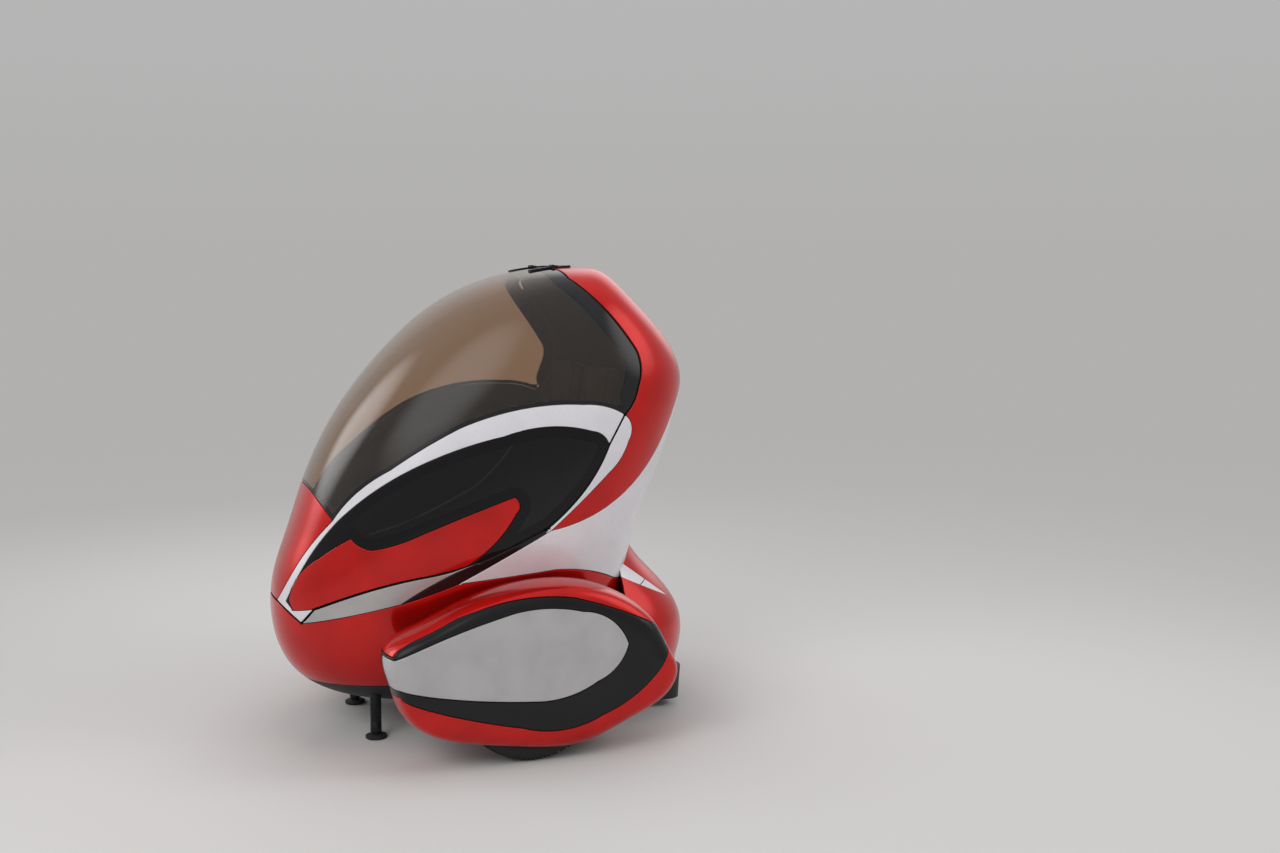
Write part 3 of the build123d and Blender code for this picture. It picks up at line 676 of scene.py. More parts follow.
redPaint = paint("redPaint", *redTones, 0.6, 0.32, 0.06, 0.6, 0.1)
pearlPaint = paint("pearlPaint", (0.60, 0.59, 0.62), (0.68, 0.67, 0.70), 0.15, 0.30, 0.05)
greyPaint = paint("greyPaint", (0.36, 0.35, 0.36), (0.43, 0.42, 0.42), 0.35, 0.34, 0.05)
stripPaint = paint("stripPaint", (0.36, 0.35, 0.35), (0.42, 0.41, 0.40), 0.4, 0.35, 0.05)
blackGloss = paint("blackGloss", (0.003, 0.003, 0.0035), (0.005, 0.005, 0.006), 0.0, 0.25, 0.03, 0.5, 0.1)
blackPlastic = plastic("blackPlastic", (0.008, 0.008, 0.009), (0.014, 0.014, 0.015), 0.55, 900)
liningPlastic = plastic("liningPlastic", (0.012, 0.012, 0.013), (0.020, 0.020, 0.021), 0.8, 1200, 0.03)
rubber = plastic("rubber", (0.008, 0.008, 0.008), (0.014, 0.014, 0.014), 0.8, 700, 0.35)
satinMetal = metal("satinMetal", (0.30, 0.30, 0.32), (0.42, 0.42, 0.44), 0.32)
castMetal = metal("castMetal", (0.30, 0.30, 0.31), (0.45, 0.45, 0.46), 0.5, 240, 0.5)
frameMetal = metal("frameMetal", (0.020, 0.020, 0.022), (0.035, 0.035, 0.038), 0.45, 90)
windscreenGlass = tintedGlass("windscreenGlass", (0.66, 0.50, 0.37))
sideWindowGlass = tintedGlass("sideWindowGlass", (0.020, 0.019, 0.020), 0.0, 0.3)
seatCloth = plastic("seatCloth", (0.022, 0.021, 0.022), (0.045, 0.043, 0.044), 0.85, 1500, 0.35)
carpet = plastic("carpet", (0.012, 0.012, 0.013), (0.026, 0.025, 0.026), 0.95, 2200, 0.3)
footRubber = plastic("footRubber", (0.010, 0.010, 0.010), (0.018, 0.018, 0.018), 0.7, 500, 0.3)
print("materials ready")


def finishPiece(piece, bodyName, slot, materials, *nodes):
    # materials, motion and the CAD nodes that the piece stands for; the finish name (slot) is not used
    for material in materials:
        piece.data.materials.append(material)
    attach(piece, bodyName)
    if nodes:
        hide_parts(*nodes)


def edgeShare(piece, narrow, wide=0.0, isWide=lambda co: False):
    # each point's distance from the pane's edge as a share of the border's width there
    mesh = piece.data
    walls = set()
    for face in mesh.polygons:
        if len(face.vertices) == 4:
            walls.update(face.vertices)
    values = np.full(len(mesh.vertices), 2.0)
    for width, wanted in ((narrow, False), (wide, True)):
        chosen = [v for v in walls if isWide(mesh.vertices[v].co) == wanted]
        if chosen:
            near = nearTable([mesh.vertices[v].co for v in chosen], chosen)
            values = np.minimum(values, [near.find(v.co)[2] / width for v in mesh.vertices])
    mesh.attributes.new("edgeShare", "FLOAT", "POINT").data.foreach_set("value", values)


def bodyPanel(name, label, wall, mirrored=False, flip=False):
    movingLabels = ("sideGlass", *canopyOutlines)

    def gapOf(other):
        parting = other is not None and (labels[other] in movingLabels) != (label in movingLabels)
        return body["shutGap" if parting else "panelGap"]
    middle = onMiddle if mirrored else None
    return panelMesh(name, skin, labels == label, gapOf, wall, body["edgeRound"], mirrored, flip, middle)


glassWall, wall = body["glassWall"], body["wall"]
redLined, pearlLined = [redPaint, liningPlastic], [pearlPaint, liningPlastic]
# the glass panes' black borders, and the pillar behind which the windscreen's is wide
borderWidths = {"narrow": 0.010, "wide": 0.055, "side": 0.035}
wholePanels = [
    # piece, share of the skin, wall, body, slot, materials, CAD node
    ("windscreenPane", "windscreen", glassWall, "canopy", "tinted_glass", [windscreenGlass] * 2,
     "windscreen"),
    ("nosePanel", "nose", wall, "canopy", "red_paint", redLined, "nose_panel"),
    ("rearShell", "rearShell", wall, "root", "red_paint", redLined, "rear_shell"),
    ("waistPanel", "waist", wall, "root", "pearl_paint", pearlLined, "waist_panel"),
    ("lowerBody", "lower", wall, "root", "red_paint", [redPaint, blackPlastic], "lower_body"),
]
pairedPanels = [
    ("canopyRing", "ring", wall, "canopy", "pearl_paint", pearlLined, "canopy_ring"),
    ("sideGlass", "sideGlass", glassWall, "canopy", "tinted_glass", [sideWindowGlass] * 2, "side_glass"),
    ("doorPanel", "door", wall, "canopy", "red_paint", redLined, "door_panel"),
    ("ringTail", "ringTail", wall, "root", "pearl_paint", pearlLined, "ring_tail"),
    ("sillBand", "sill", wall, "root", "black_gloss", [blackGloss, liningPlastic], "sill_band"),
    ("sideStrip", "strip", wall, "root", "grey_paint", [stripPaint, liningPlastic], "side_strip"),
]
for name, label, thickness, bodyName, slot, materials, node in wholePanels:
    piece = bodyPanel(name, label, thickness, mirrored=True)
    if label == "windscreen":
        edgeShare(piece, borderWidths["narrow"], borderWidths["wide"],
                  lambda co: co.x < -0.228 and co.z > 1.19)
    finishPiece(piece, bodyName, slot, materials, node)
for name, label, thickness, bodyName, slot, materials, node in pairedPanels:
    for side in ("Left", "Right"):
        piece = bodyPanel(name + side, label, thickness, flip=side == "Right")
        if label == "sideGlass":
            edgeShare(piece, borderWidths["side"])
        finishPiece(piece, bodyName, slot, materials, f"{node}_{side.lower()}")
print("body panels ready")

# Fender pod: its outlines in x and z, in millimetres
pod = {
    "outline": [(469, 405), (452, 299), (409, 187), (357, 139), (292, 108), (159, 76), (3, 50), (-178, 46),
                (-366, 116), (-514, 210), (-533, 267), (-507, 330), (-444, 443), (-311, 547), (-189, 589),
                (-71, 597), (96, 574), (234, 528), (358, 473)],
    "centre": (-20, 350),
    # from the middle of the outer face round to the inner edge: share of the outline, and y
    "profile": [(0.0, 710), (0.3, 709.8), (0.6, 709), (0.78, 706.5), (0.87, 701), (0.95, 685), (0.995, 640),
                (1.0, 560), (0.95, 488)],
    "meanReach": 400,
    "capLow": [(470, 408), (340, 478), (180, 536), (20, 566), (-140, 556), (-290, 505), (-430, 440)],
    "coverTop": [(452, 398), (200, 486), (60, 522), (-60, 528), (-170, 508), (-290, 452), (-330, 385)],
    "coverBottom": [(-330, 385), (-300, 325), (-220, 268), (-120, 228), (0, 222), (210, 248), (436, 296)],
    "lipTop": [(445, 268), (250, 196), (40, 138), (-100, 116), (-240, 152), (-400, 242), (-500, 365)],
    "coverNear": 0.660,
    "coverWrapNear": 0.600,
    "shoulderY": 0.672,
    "wall": 0.012,
    "panelGap": 0.0012,
    "edgeRound": 0.0025,
    "spacing": 0.013,
    # the tyre's slot: x from and to, y from and to, and the height it reaches
    "slot": (-0.270, 0.230, 0.523, 0.677, 0.150),
    "innerY": 0.488,
    "plate": 0.010,
    "plateInset": 0.0124 / 0.3,
    # the opening for the wheel's arm: x, z and radius
    "hub": (-0.020, 0.260, 0.135),
}


def closedSpline(points, count=720):
    # evenly spread samples of a smooth closed curve
    points = np.array(points, float)
    wrapped = np.concatenate([points[-4:], points, points[:5]])
    distance = lengthsAlong(wrapped)
    return spline(distance, wrapped)(np.linspace(distance[4], distance[4 + len(points)], count + 1))


podLine = closedSpline(pod["outline"]) / 1000
podTurn = np.linspace(0, 2 * np.pi, len(podLine))
podCentre = np.array(pod["centre"]) / 1000
podProfile = np.array(pod["profile"], float)
profileKnots = runningSum(np.hypot(*(np.diff(podProfile, axis=0) * (pod["meanReach"], 1)).T) / 1000)
profileAt = spline(profileKnots, podProfile * (1, 0.001))
podReach = profileKnots[-1]
reachTable = np.linspace(0, podReach, 3000)
profileTable = profileAt(reachTable)
widestIndex = int(profileTable[:, 0].argmax())
lineBearing = np.unwrap(np.arctan2(podLine[:, 1] - podCentre[1], podLine[:, 0] - podCentre[0]))
lineDistance = np.linalg.norm(podLine - podCentre, axis=1)


def reachAtY(y):
    return np.interp(-y, -profileTable[:, 1], reachTable)


def podPoint(reach, turn):
    # the pod's skin at a reach from the middle of its outer face, and a turn round its outline
    reach, turn = paired(reach, turn)
    size = profileAt(reach)
    turn = turn % (2 * np.pi)
    x = podCentre[0] + (np.interp(turn, podTurn, podLine[:, 0]) - podCentre[0]) * size[..., 0]
    z = podCentre[1] + (np.interp(turn, podTurn, podLine[:, 1]) - podCentre[1]) * size[..., 0]
    return np.stack([x, size[..., 1], z], -1)


def podNormal(reach, turn, reachStep=0.003, turnStep=0.02):
    reach, turn = paired(reach, turn)
    far, near = np.minimum(reach + reachStep, podReach), np.maximum(reach - reachStep, 0)
    sideways = podPoint(reach, turn + turnStep) - podPoint(reach, turn - turnStep)
    normal = np.cross(podPoint(far, turn) - podPoint(near, turn), sideways)
    size = np.linalg.norm(normal, axis=-1, keepdims=True)
    return np.where((size > 1e-9) & (reach[..., None] > 0.004), normal / np.maximum(size, 1e-12), (0, 1, 0))


podForm = {
    "point": podPoint,
    "normal": podNormal,
    "flat": lambda reach, turn: (reach * np.cos(turn), reach * np.sin(turn)),
    "unflat": lambda v: (np.minimum(np.hypot(v[:, 0], v[:, 1]), podReach),
                         np.arctan2(v[:, 1], v[:, 0]) % (2 * np.pi)),
}


def podPlace(p):
    # side-view millimetres to (reach, turn) on the pod's outer face
    d = np.array(p) / 1000 - podCentre
    bearing = np.arctan2(d[1], d[0])
    low, high = sorted((lineBearing[0], lineBearing[-1]))
    while bearing < low:
        bearing += 2 * np.pi
    while bearing > high:
        bearing -= 2 * np.pi
    order = slice(None) if lineBearing[-1] > lineBearing[0] else slice(None, None, -1)
    turn = np.interp(bearing, lineBearing[order], podTurn[order])
    share = np.linalg.norm(d) / np.interp(bearing, lineBearing[order], lineDistance[order])
    return np.interp(share, profileTable[:widestIndex, 0], reachTable[:widestIndex]), turn


def shoulderCurve(points):
    # a side-view curve on the pod's outer face, led straight round to the inner edge at both ends
    places = [(min(reach, shoulderReach), turn) for reach, turn in map(podPlace, points)]
    (headReach, headTurn), (tailReach, tailTurn) = places[0], places[-1]
    head = [(r, headTurn) for r in np.linspace(podReach, headReach, 24)[:-1]]
    tail = [(r, tailTurn) for r in np.linspace(tailReach, podReach, 24)[1:]]
    return head + places + tail


def beyond(curve):
    # closed outline, on the flat map of the skin, of all that lies past a shoulder curve
    outside = [(1.2 * podReach, t) for t in np.linspace(curve[-1][1], curve[0][1], 60)]
    return [podForm["flat"](*p) for p in curve + outside]


def slotCurve():
    # the tyre's slot in the underside, as a closed curve on the skin
    x0, x1, y0, y1, top = np.array(pod["slot"]) * 1000
    low = podLine[:, 1] < 0.2
    order = np.argsort(podLine[low, 0])
    xs, turns = podLine[low, 0][order], podTurn[low][order]
    curve = []
    for x, y in line((x0, y0), (x1, y0), (x1, y1), (x0, y1), (x0, y0), step=10):
        reach = reachAtY(y / 1000)
        size = profileAt(reach)[0]
        curve.append((reach, float(np.interp(podCentre[0] + (x / 1000 - podCentre[0]) / size, xs, turns))))
    return curve


shoulderReach, wrapReach = reachAtY(pod["shoulderY"]), reachAtY(pod["coverWrapNear"])
capCurve, lipCurve = shoulderCurve(arcs(pod["capLow"])), shoulderCurve(arcs(pod["lipTop"]))
coverSide = arcs(pod["coverTop"]) + arcs(pod["coverBottom"])
coverFront = pod["coverBottom"][-1], pod["coverTop"][0]
(lowReach, lowTurn), (topReach, topTurn) = map(podPlace, coverFront)
# the cover wraps round the pod's front between two turns
wrapCurve = ([(r, lowTurn) for r in np.linspace(lowReach, wrapReach, 12)[:-1]]
             + [(wrapReach, t) for t in np.linspace(lowTurn, topTurn, 14)[:-1]]
             + [(r, topTurn) for r in np.linspace(wrapReach, topReach, 12)])
coverCurve = [podPlace(p) for p in arcs(pod["coverTop"]) + arcs(pod["coverBottom"])[1:]] + wrapCurve
podEdge = [(podReach, t) for t in np.linspace(0, 2 * np.pi, 300)]
podGrid = spreadGrid(podPoint, podReach, np.linspace(0, 2 * np.pi, 721), 5, (0.0, 0.5), pod["spacing"])
podSkin = shareOut([capCurve, lipCurve, coverCurve, slotCurve(), podEdge], podForm,
                   np.array([(0.0, 0.0)] + podGrid), pod["spacing"])


def podLabelsOf(share):
    # the name of the piece that each triangle of the pod's skin belongs to
    centres = share["points"][share["triangles"]].mean(axis=1)
    flat = np.stack(podForm["flat"](*share["at"]), -1)[share["triangles"]].mean(axis=1)
    turn = np.arctan2(flat[:, 1], flat[:, 0]) % (2 * np.pi)
    reach = share["at"][0][share["triangles"]].mean(axis=1)
    side = centres[:, [0, 2]] * 1000
    names = np.full(len(centres), "band", dtype=object)
    names[polygonMask(side, coverSide) & (centres[:, 1] > pod["coverNear"])] = "cover"
    (lowX, lowZ), (topX, topZ) = coverFront
    frontLine = lowX + (side[:, 1] - lowZ) * (topX - lowX) / (topZ - lowZ)
    names[(turn > topTurn) & (turn < lowTurn) & (reach < wrapReach) & (side[:, 0] > frontLine)] = "cover"
    names[polygonMask(flat, beyond(capCurve))] = "arch"
    names[polygonMask(flat, beyond(lipCurve))] = "lip"
    x0, x1, y0, y1, top = pod["slot"]
    x, y, z = centres.T
    names[(x > x0) & (x < x1) & (y > y0) & (y < y1) & (z < top)] = "slot"
    return names


podLabels = podLabelsOf(podSkin)
print("pod shared out:", {k: int((podLabels == k).sum()) for k in sorted(set(podLabels))})


def innerPlate(name, side, count=180):
    # the pod's inner wall with its round opening for the wheel's arm
    ring = podPoint(podReach, np.linspace(0, 2 * np.pi, count, endpoint=False))
    centre = np.array((podCentre[0], pod["innerY"], podCentre[1]))
    ring = centre + (ring - centre) * (1 - pod["plateInset"])
    hubX, hubZ, hubRadius = pod["hub"]
    bearing = np.arctan2(ring[:, 2] - hubZ, ring[:, 0] - hubX)
    hole = np.stack([hubX + hubRadius * np.cos(bearing), np.full(count, pod["innerY"]),
                     hubZ + hubRadius * np.sin(bearing)], -1)
    thick = (0, pod["innerY"] + pod["plate"], 0)
    verts = np.concatenate([ring, ring * (1, 0, 1) + thick, hole * (1, 0, 1) + thick, hole]) * (1, side, 1)
    faces = []
    for k in range(4):
        for i in range(count):
            j = (i + 1) % count
            a, b = k * count, ((k + 1) % 4) * count
            face = (a + i, a + j, b + j, b + i)
            faces.append(face if side < 0 else face[::-1])
    mesh = bpy.data.meshes.new(name)
    mesh.from_pydata([tuple(v) for v in verts], [], faces)
    mesh.update()
    return newPiece(name, mesh)


podPieces = [
    ("podArch", "arch", "red_paint", redPaint, "pod_arch"),
    ("podBand", "band", "black_gloss", blackGloss, "pod_band"),
    ("podLip", "lip", "red_paint", redPaint, "pod_lip"),
    ("wheelCover", "cover", "grey_paint", greyPaint, "wheel_cover"),
]
for name, label, slot, material, node in podPieces:
    for side in ("Left", "Right"):
        piece = panelMesh(name + side, podSkin, podLabels == label, lambda other: pod["panelGap"],
                          pod["wall"], pod["edgeRound"], flip=side == "Right")
        finishPiece(piece, "root", slot, [material, blackPlastic], f"{node}_{side.lower()}")
for side, sign in (("Left", 1), ("Right", -1)):
    finishPiece(innerPlate("podInner" + side, sign), "root", "black_gloss", [blackPlastic])
print("pods ready")


# Plain helpers for turned, swept and rounded forms
def facesOut(mesh, sharp=35):
    shape = bmesh.new()
    shape.from_mesh(mesh)
    bmesh.ops.remove_doubles(shape, verts=shape.verts, dist=1e-5)
    bmesh.ops.recalc_face_normals(shape, faces=shape.faces)
    shape.to_mesh(mesh)
    shape.free()
    mesh.polygons.foreach_set("use_smooth", np.ones(len(mesh.polygons), bool))
    mesh.set_sharp_from_angle(angle=np.radians(sharp))
    mesh.update()


def gridMesh(name, points, sharp=35):
    # a closed form through rows of points, each row a ring
    rows, columns = points.shape[:2]
    faces = []
    for i in range(rows - 1):
        for j in range(columns):
            a, b = i + 1, (j + 1) % columns
            faces.append((i * columns + j, i * columns + b, a * columns + b, a * columns + j))
    faces.append(tuple(range(columns))[::-1])
    faces.append(tuple(range((rows - 1) * columns, rows * columns)))
    mesh = bpy.data.meshes.new(name)
    mesh.from_pydata([tuple(p) for p in points.reshape(-1, 3)], [], faces)
    facesOut(mesh, sharp)
    return newPiece(name, mesh)


def lathe(name, profile, centre, axis, count=96, sharp=35):
    # a turned form: its profile is distance along the axis and radius
    axis = unit(np.array(axis, float))
    side = unit(np.cross(axis, (1, 0, 0) if abs(axis[0]) < 0.9 else (0, 1, 0)))
    other = np.cross(axis, side)
    turns = np.linspace(0, 2 * np.pi, count, endpoint=False)[:, None]
    ring = np.cos(turns) * side + np.sin(turns) * other
    return gridMesh(name, np.array([np.array(centre) + axis * h + ring * r for h, r in profile]), sharp)


def roundedOutline(corners, step=0.006, turnSteps=8):
    # a closed outline with rounded corners, from (x, z, radius) in millimetres
    points = []
    corners = np.array(corners, float) / 1000
    for i, radius in enumerate(corners[:, 2]):
        before, here, after = (corners[(i + k) % len(corners), :2] for k in (-1, 0, 1))
        u, v = unit(before - here), unit(after - here)
        half = np.arccos(np.clip(u @ v, -1, 1)) / 2
        reach = radius / np.tan(half)
        middle = here + unit(u + v) * radius / np.sin(half)
        start, end = here + u * reach - middle, here + v * reach - middle
        turn = np.arctan2(start[0] * end[1] - start[1] * end[0], start @ end)
        for t in turn * np.arange(turnSteps + 1) / turnSteps:
            points.append(middle + np.array((start[0] * np.cos(t) - start[1] * np.sin(t),
                                             start[0] * np.sin(t) + start[1] * np.cos(t))))
    around = np.array(points + points[:1])
    distance = lengthsAlong(around)
    places = np.linspace(0, distance[-1], int(distance[-1] / step), endpoint=False)
    return np.stack([np.interp(places, distance, around[:, k]) for k in (0, 1)], -1)


def roundedBox(name, low, high, radius, segments=4):
    # a box with rounded edges
    low, high = np.array(low, float), np.array(high, float)
    mesh = bpy.data.meshes.new(name)
    shape = bmesh.new()
    bmesh.ops.create_cube(shape, size=1)
    for v in shape.verts:
        v.co = Vector((low + high) / 2 + np.array(v.co) * (high - low))
    bmesh.ops.bevel(shape, geom=shape.edges[:], offset=radius, segments=segments, profile=0.5, affect="EDGES")
    shape.to_mesh(mesh)
    shape.free()
    facesOut(mesh, 50)
    return newPiece(name, mesh)


def joined(name, pieces):
    # several meshes as one piece
    shape = bmesh.new()
    for piece in pieces:
        shape.from_mesh(piece.data)
        bpy.data.objects.remove(piece)
    mesh = bpy.data.meshes.new(name)
    shape.to_mesh(mesh)
    shape.free()
    return newPiece(name, mesh)


# A black flange under the canopy's rear edge that laps behind the fixed body.
# Its profile is across the edge, and under the skin.
sealProfile = np.array([(0.018, 0.0062), (0.006, 0.021), (-0.010, 0.021), (-0.010, 0.0235),
                        (0.0075, 0.0235), (0.0205, 0.0075)])
sealLine = arcs(border)[3:] + line(ringBackOuter, ringBackInner)[1:]


def edgeSeal(name, sideLine, sign, profile):
    # a strip of the given profile along a line on the body's skin
    path = np.array(sideToSkin(sideLine)).T
    place, normal = bodyPoint(*path), bodyNormal(*path)
    across = unit(np.cross(normal, np.gradient(place, axis=0)))
    across *= np.where(across[:, :1] > 0, 1, -1)
    rows = place[:, None] + across[:, None] * profile[None, :, :1] - normal[:, None] * profile[None, :, 1:]
    return gridMesh(name, rows * (1, sign, 1), sharp=60)


for side, sign in (("Left", 1), ("Right", -1)):
    seal = edgeSeal("canopySeal" + side, sealLine, sign, sealProfile)
    finishPiece(seal, "canopy", "black_plastic", [blackPlastic])
print("canopy seal ready")

# Seats: side outlines as in the CAD source, drawn in a little, then puffed, then sewn
seats = {
    "cushion": [(170, 444.4, 30), (-225, 444.4, 30), (-225, 570, 30), (-60, 572, 60), (150, 600, 25),
                (190, 560, 25)],
    "back": [(-235, 444.4, 30), (-245, 580, 60), (-360, 1090, 60), (-390, 1290, 30), (-460, 1290, 30),
             (-455, 1090, 60), (-345, 580, 60), (-322, 444.4, 30)],
    "middle": 0.190,
    "halfWidth": 0.175,
    "start": 0.009,
    "edge": 0.034,
    "pressure": 4,
    "steps": 20,
    "swell": 0.006,
    "sideSeam": 0.108,
    "rimSeam": 0.153,
    "seamDepth": 0.0055,
    "seamWidth": 0.0045,
    "cushionChannels": (-0.130, -0.065, 0.0, 0.065, 0.130),
    "backChannels": (0.66, 0.73, 0.80, 0.87, 0.94, 1.01, 1.10),
}


def ringRows(ringAt, halfWidth, count):
    # a side outline repeated across a width, closer together towards its sides
    rows = []
    for share in np.sin(np.linspace(-np.pi / 2, np.pi / 2, count)):
        ring = ringAt(abs(share))
        rows.append(np.stack([ring[:, 0], np.full(len(ring), share * halfWidth), ring[:, 1]], -1))
    return np.array(rows)


def padForm(name, corners):
    # a crowned closed form: the side outline drawn in towards both sides
    outline = roundedOutline(corners, 0.012)
    ahead, behind = np.roll(outline, -1, axis=0), np.roll(outline, 1, axis=0)
    along = unit(ahead - behind)
    area = np.sum(outline[:, 0] * ahead[:, 1] - ahead[:, 0] * outline[:, 1])
    inward = np.stack([-along[:, 1], along[:, 0]], -1) * np.sign(area)

    def ringAt(share):
        return outline + inward * (seats["start"] + seats["edge"] * (1 - (1 - share ** 5) ** 0.2))
    rows = ringRows(ringAt, seats["halfWidth"] - seats["start"], 31) + (0, seats["middle"], 0)
    return gridMesh(name, rows, sharp=180)


def puff(piece):
    # a short cloth simulation with pressure inside, in which no point moves more than the swell
    mesh = piece.data
    start = np.array([v.co for v in mesh.vertices])
    cloth = piece.modifiers.new("cloth", "CLOTH")
    cloth.settings.use_pressure = True
    cloth.settings.uniform_pressure_force = seats["pressure"]
    cloth.settings.effector_weights.gravity = 0
    for step in range(1, seats["steps"] + 1):
        bpy.context.scene.frame_set(step)
    move = np.array([v.co for v in finishedMesh(piece).vertices]) - start
    move *= np.minimum(1, seats["swell"] / np.maximum(np.linalg.norm(move, axis=1), 1e-9))[:, None]
    piece.modifiers.clear()
    mesh.vertices.foreach_set("co", (start + move).ravel())
    mesh.update()
    bpy.context.scene.frame_set(1)


def sew(piece, channels, axis, facing):
    # two subdivisions, then seams and channels pressed in along the surface
    level = piece.modifiers.new("smooth", "SUBSURF")
    level.levels = level.render_levels = 2
    fine = finishedMesh(piece)
    piece.modifiers.clear()
    piece.data = fine
    points = np.array([v.co for v in fine.vertices])
    normals = np.array([v.normal for v in fine.vertices])
    across = np.abs(points[:, 1] - seats["middle"])
    front = normals[:, facing] > 0.25
    seams = [(across - seats["sideSeam"], front), (across - seats["rimSeam"], True)]
    seams += [(points[:, axis] - c, front & (across < seats["sideSeam"])) for c in channels]
    depth = np.zeros(len(points))
    for distance, wanted in seams:
        press = seats["seamDepth"] * np.exp(-(distance / seats["seamWidth"]) ** 2)
        depth = np.maximum(depth, np.where(wanted, press, 0))
    fine.vertices.foreach_set("co", (points - normals * depth[:, None]).ravel())
    fine.polygons.foreach_set("use_smooth", np.ones(len(fine.polygons), bool))
    fine.update()


for part, axis, facing in (("cushion", 0, 2), ("back", 2, 0)):
    piece = padForm("seat" + part.capitalize() + "Left", seats[part])
    puff(piece)
    sew(piece, seats[part + "Channels"], axis, facing)
    other = piece.data.copy()
    other.transform(Matrix.Translation((0, -2 * seats["middle"], 0)))
    twin = newPiece("seat" + part.capitalize() + "Right", other)
    for seat, side in ((piece, "left"), (twin, "right")):
        finishPiece(seat, "root", "seat_fabric", [seatCloth], f"seat_{part}_{side}")
print("seats ready")

# Dash, display and steering yoke
dash = {
    "corners": [(430, 690, 20), (450, 770, 20), (540, 790, 20), (580, 720, 30), (560, 560, 20),
                (480, 560, 20)],
    "halfWidth": 0.240,
    "drawIn": 0.028 / 0.09,
    "stem": ((0.480, -0.060, 0.307), (0.540, 0.060, 0.576)),
    "screenHalf": (0.004, 0.150, 0.042),
    "screenPlace": (0.4395, 0, 0.730),
    "screenLean": np.arctan2(0.020, 0.080),
}
dashOutline = roundedOutline(dash["corners"], 0.008)
dashCentre = dashOutline.mean(axis=0)
dashRows = ringRows(lambda share: dashCentre + (dashOutline - dashCentre)
                    * (1 - (1 - (1 - share ** 8) ** 0.125) * dash["drawIn"]), dash["halfWidth"], 25)
dashPieces = [gridMesh("dashForm", dashRows, sharp=60), roundedBox("dashStem", *dash["stem"], 0.012)]
finishPiece(joined("dashPanel", dashPieces), "root", "black_plastic", [blackPlastic], "dash")


def screenMaterial():
    # a dark display with a dim graphic of thin upright bars
    material, tree, shader, place = nodeMaterial("displayGlass")
    across = newNode(tree, "ShaderNodeSeparateXYZ", {0: place}, "Y")
    wave = maths(tree, "SINE", maths(tree, "MULTIPLY", across, 150))
    bars = spread(tree, wave, 0, 1, 0.9, 0.97)
    feed(shader, {"Base Color": blendColours(tree, bars, (0.003, 0.004, 0.005), (0.05, 0.16, 0.20)),
                  "Roughness": 0.12, "Coat Weight": 0.6})
    return material


screenHalf = np.array(dash["screenHalf"])
screen = roundedBox("display", -screenHalf, screenHalf, 0.003)
screen.data.transform(Matrix.Translation(dash["screenPlace"]) @ Matrix.Rotation(dash["screenLean"], 4, "Y"))
finishPiece(screen, "root", "black_gloss", [screenMaterial()])

yoke = {
    "hub": (0.330, 0.200, 0.800), "tilt": 25, "radius": 0.118, "grip": 0.0118, "from": 170, "sweep": 200,
    "steps": 60, "barReach": 0.112, "barRadius": 0.0085, "barSwell": 0.003, "barFade": 0.24,
    "boss": [(-0.0118, 0.001), (-0.0118, 0.026), (-0.008, 0.032), (0.004, 0.032), (0.009, 0.028),
             (0.0115, 0.018), (0.0118, 0.001)],
}
yokeLean = np.radians(yoke["tilt"])
yokeOut = np.array((-np.cos(yokeLean), 0, np.sin(yokeLean)))
yokeRight, yokeUp = np.array((0, 1, 0)), np.cross(yokeOut, (0, 1, 0))
yokeHub = np.array(yoke["hub"])


def sweep(name, path, radii, count=20):
    # a round tube along a path of points in the yoke's plane, with a radius at each
    path = np.array(path)
    turns = np.linspace(0, 2 * np.pi, count, endpoint=False)[:, None]
    rings = []
    for place, ahead, radius in zip(path, unit(np.gradient(path, axis=0)), radii):
        side = unit(np.cross(ahead, yokeOut))
        rings.append(place + radius * (np.cos(turns) * side + np.sin(turns) * np.cross(ahead, side)))
    return gridMesh(name, np.array(rings), sharp=60)


gripSteps = np.arange(yoke["steps"] + 1)
gripAngles = np.radians(yoke["from"] + yoke["sweep"] * gripSteps / yoke["steps"])[:, None]
gripArc = yokeHub + yoke["radius"] * (np.cos(gripAngles) * yokeRight + np.sin(gripAngles) * yokeUp)
fromEnd = np.minimum(gripSteps, gripSteps[::-1])
gripRadii = yoke["grip"] * np.sqrt(np.clip(1 - (1 - np.minimum(fromEnd / 3, 1)) ** 2, 0.05, 1))
barPlaces = np.linspace(-yoke["barReach"], yoke["barReach"], 25)
barRadii = yoke["barRadius"] + yoke["barSwell"] * np.cos(np.pi * barPlaces / yoke["barFade"])
yokePieces = [sweep("yokeRim", gripArc, gripRadii),
              sweep("yokeBar", yokeHub + yokeRight * barPlaces[:, None], barRadii),
              lathe("yokeBoss", yoke["boss"], yokeHub, yokeOut, 64)]
finishPiece(joined("steeringYoke", yokePieces), "steering", "black_gloss", [blackPlastic], "steering_yoke")
print("dash and yoke ready")

# Landing legs: turned columns with a collar and a grooved rubber foot
legs = {
    "column": [(0.012, 0.0165), (0.020, 0.0165), (0.024, 0.0195), (0.060, 0.0195), (0.062, 0.0185),
               (0.066, 0.0185), (0.068, 0.0195), (0.224, 0.0195)],
    "foot": [(0.0005, 0.030), (0.0005, 0.034), (0.0025, 0.0375), (0.0045, 0.0375), (0.0055, 0.0360),
             (0.0070, 0.0360), (0.0080, 0.0375), (0.0100, 0.0372), (0.0135, 0.0300), (0.0138, 0.0170)],
    "places": {"front": 0.430, "rear": -0.300},
    "side": 0.215,
}
for name, x in legs["places"].items():
    columns, feet = [], []
    for side in (-1, 1):
        place = (x, side * legs["side"], 0)
        columns.append(lathe("column", legs["column"], place, (0, 0, 1), 48, 30))
        feet.append(lathe("foot", legs["foot"], place, (0, 0, 1), 64, 30))
    finishPiece(joined(name + "Legs", columns), "root", "leg_metal", [frameMetal], name + "_legs")
    finishPiece(joined(name + "Feet", feet), "root", "leg_metal", [footRubber])
print("legs ready")

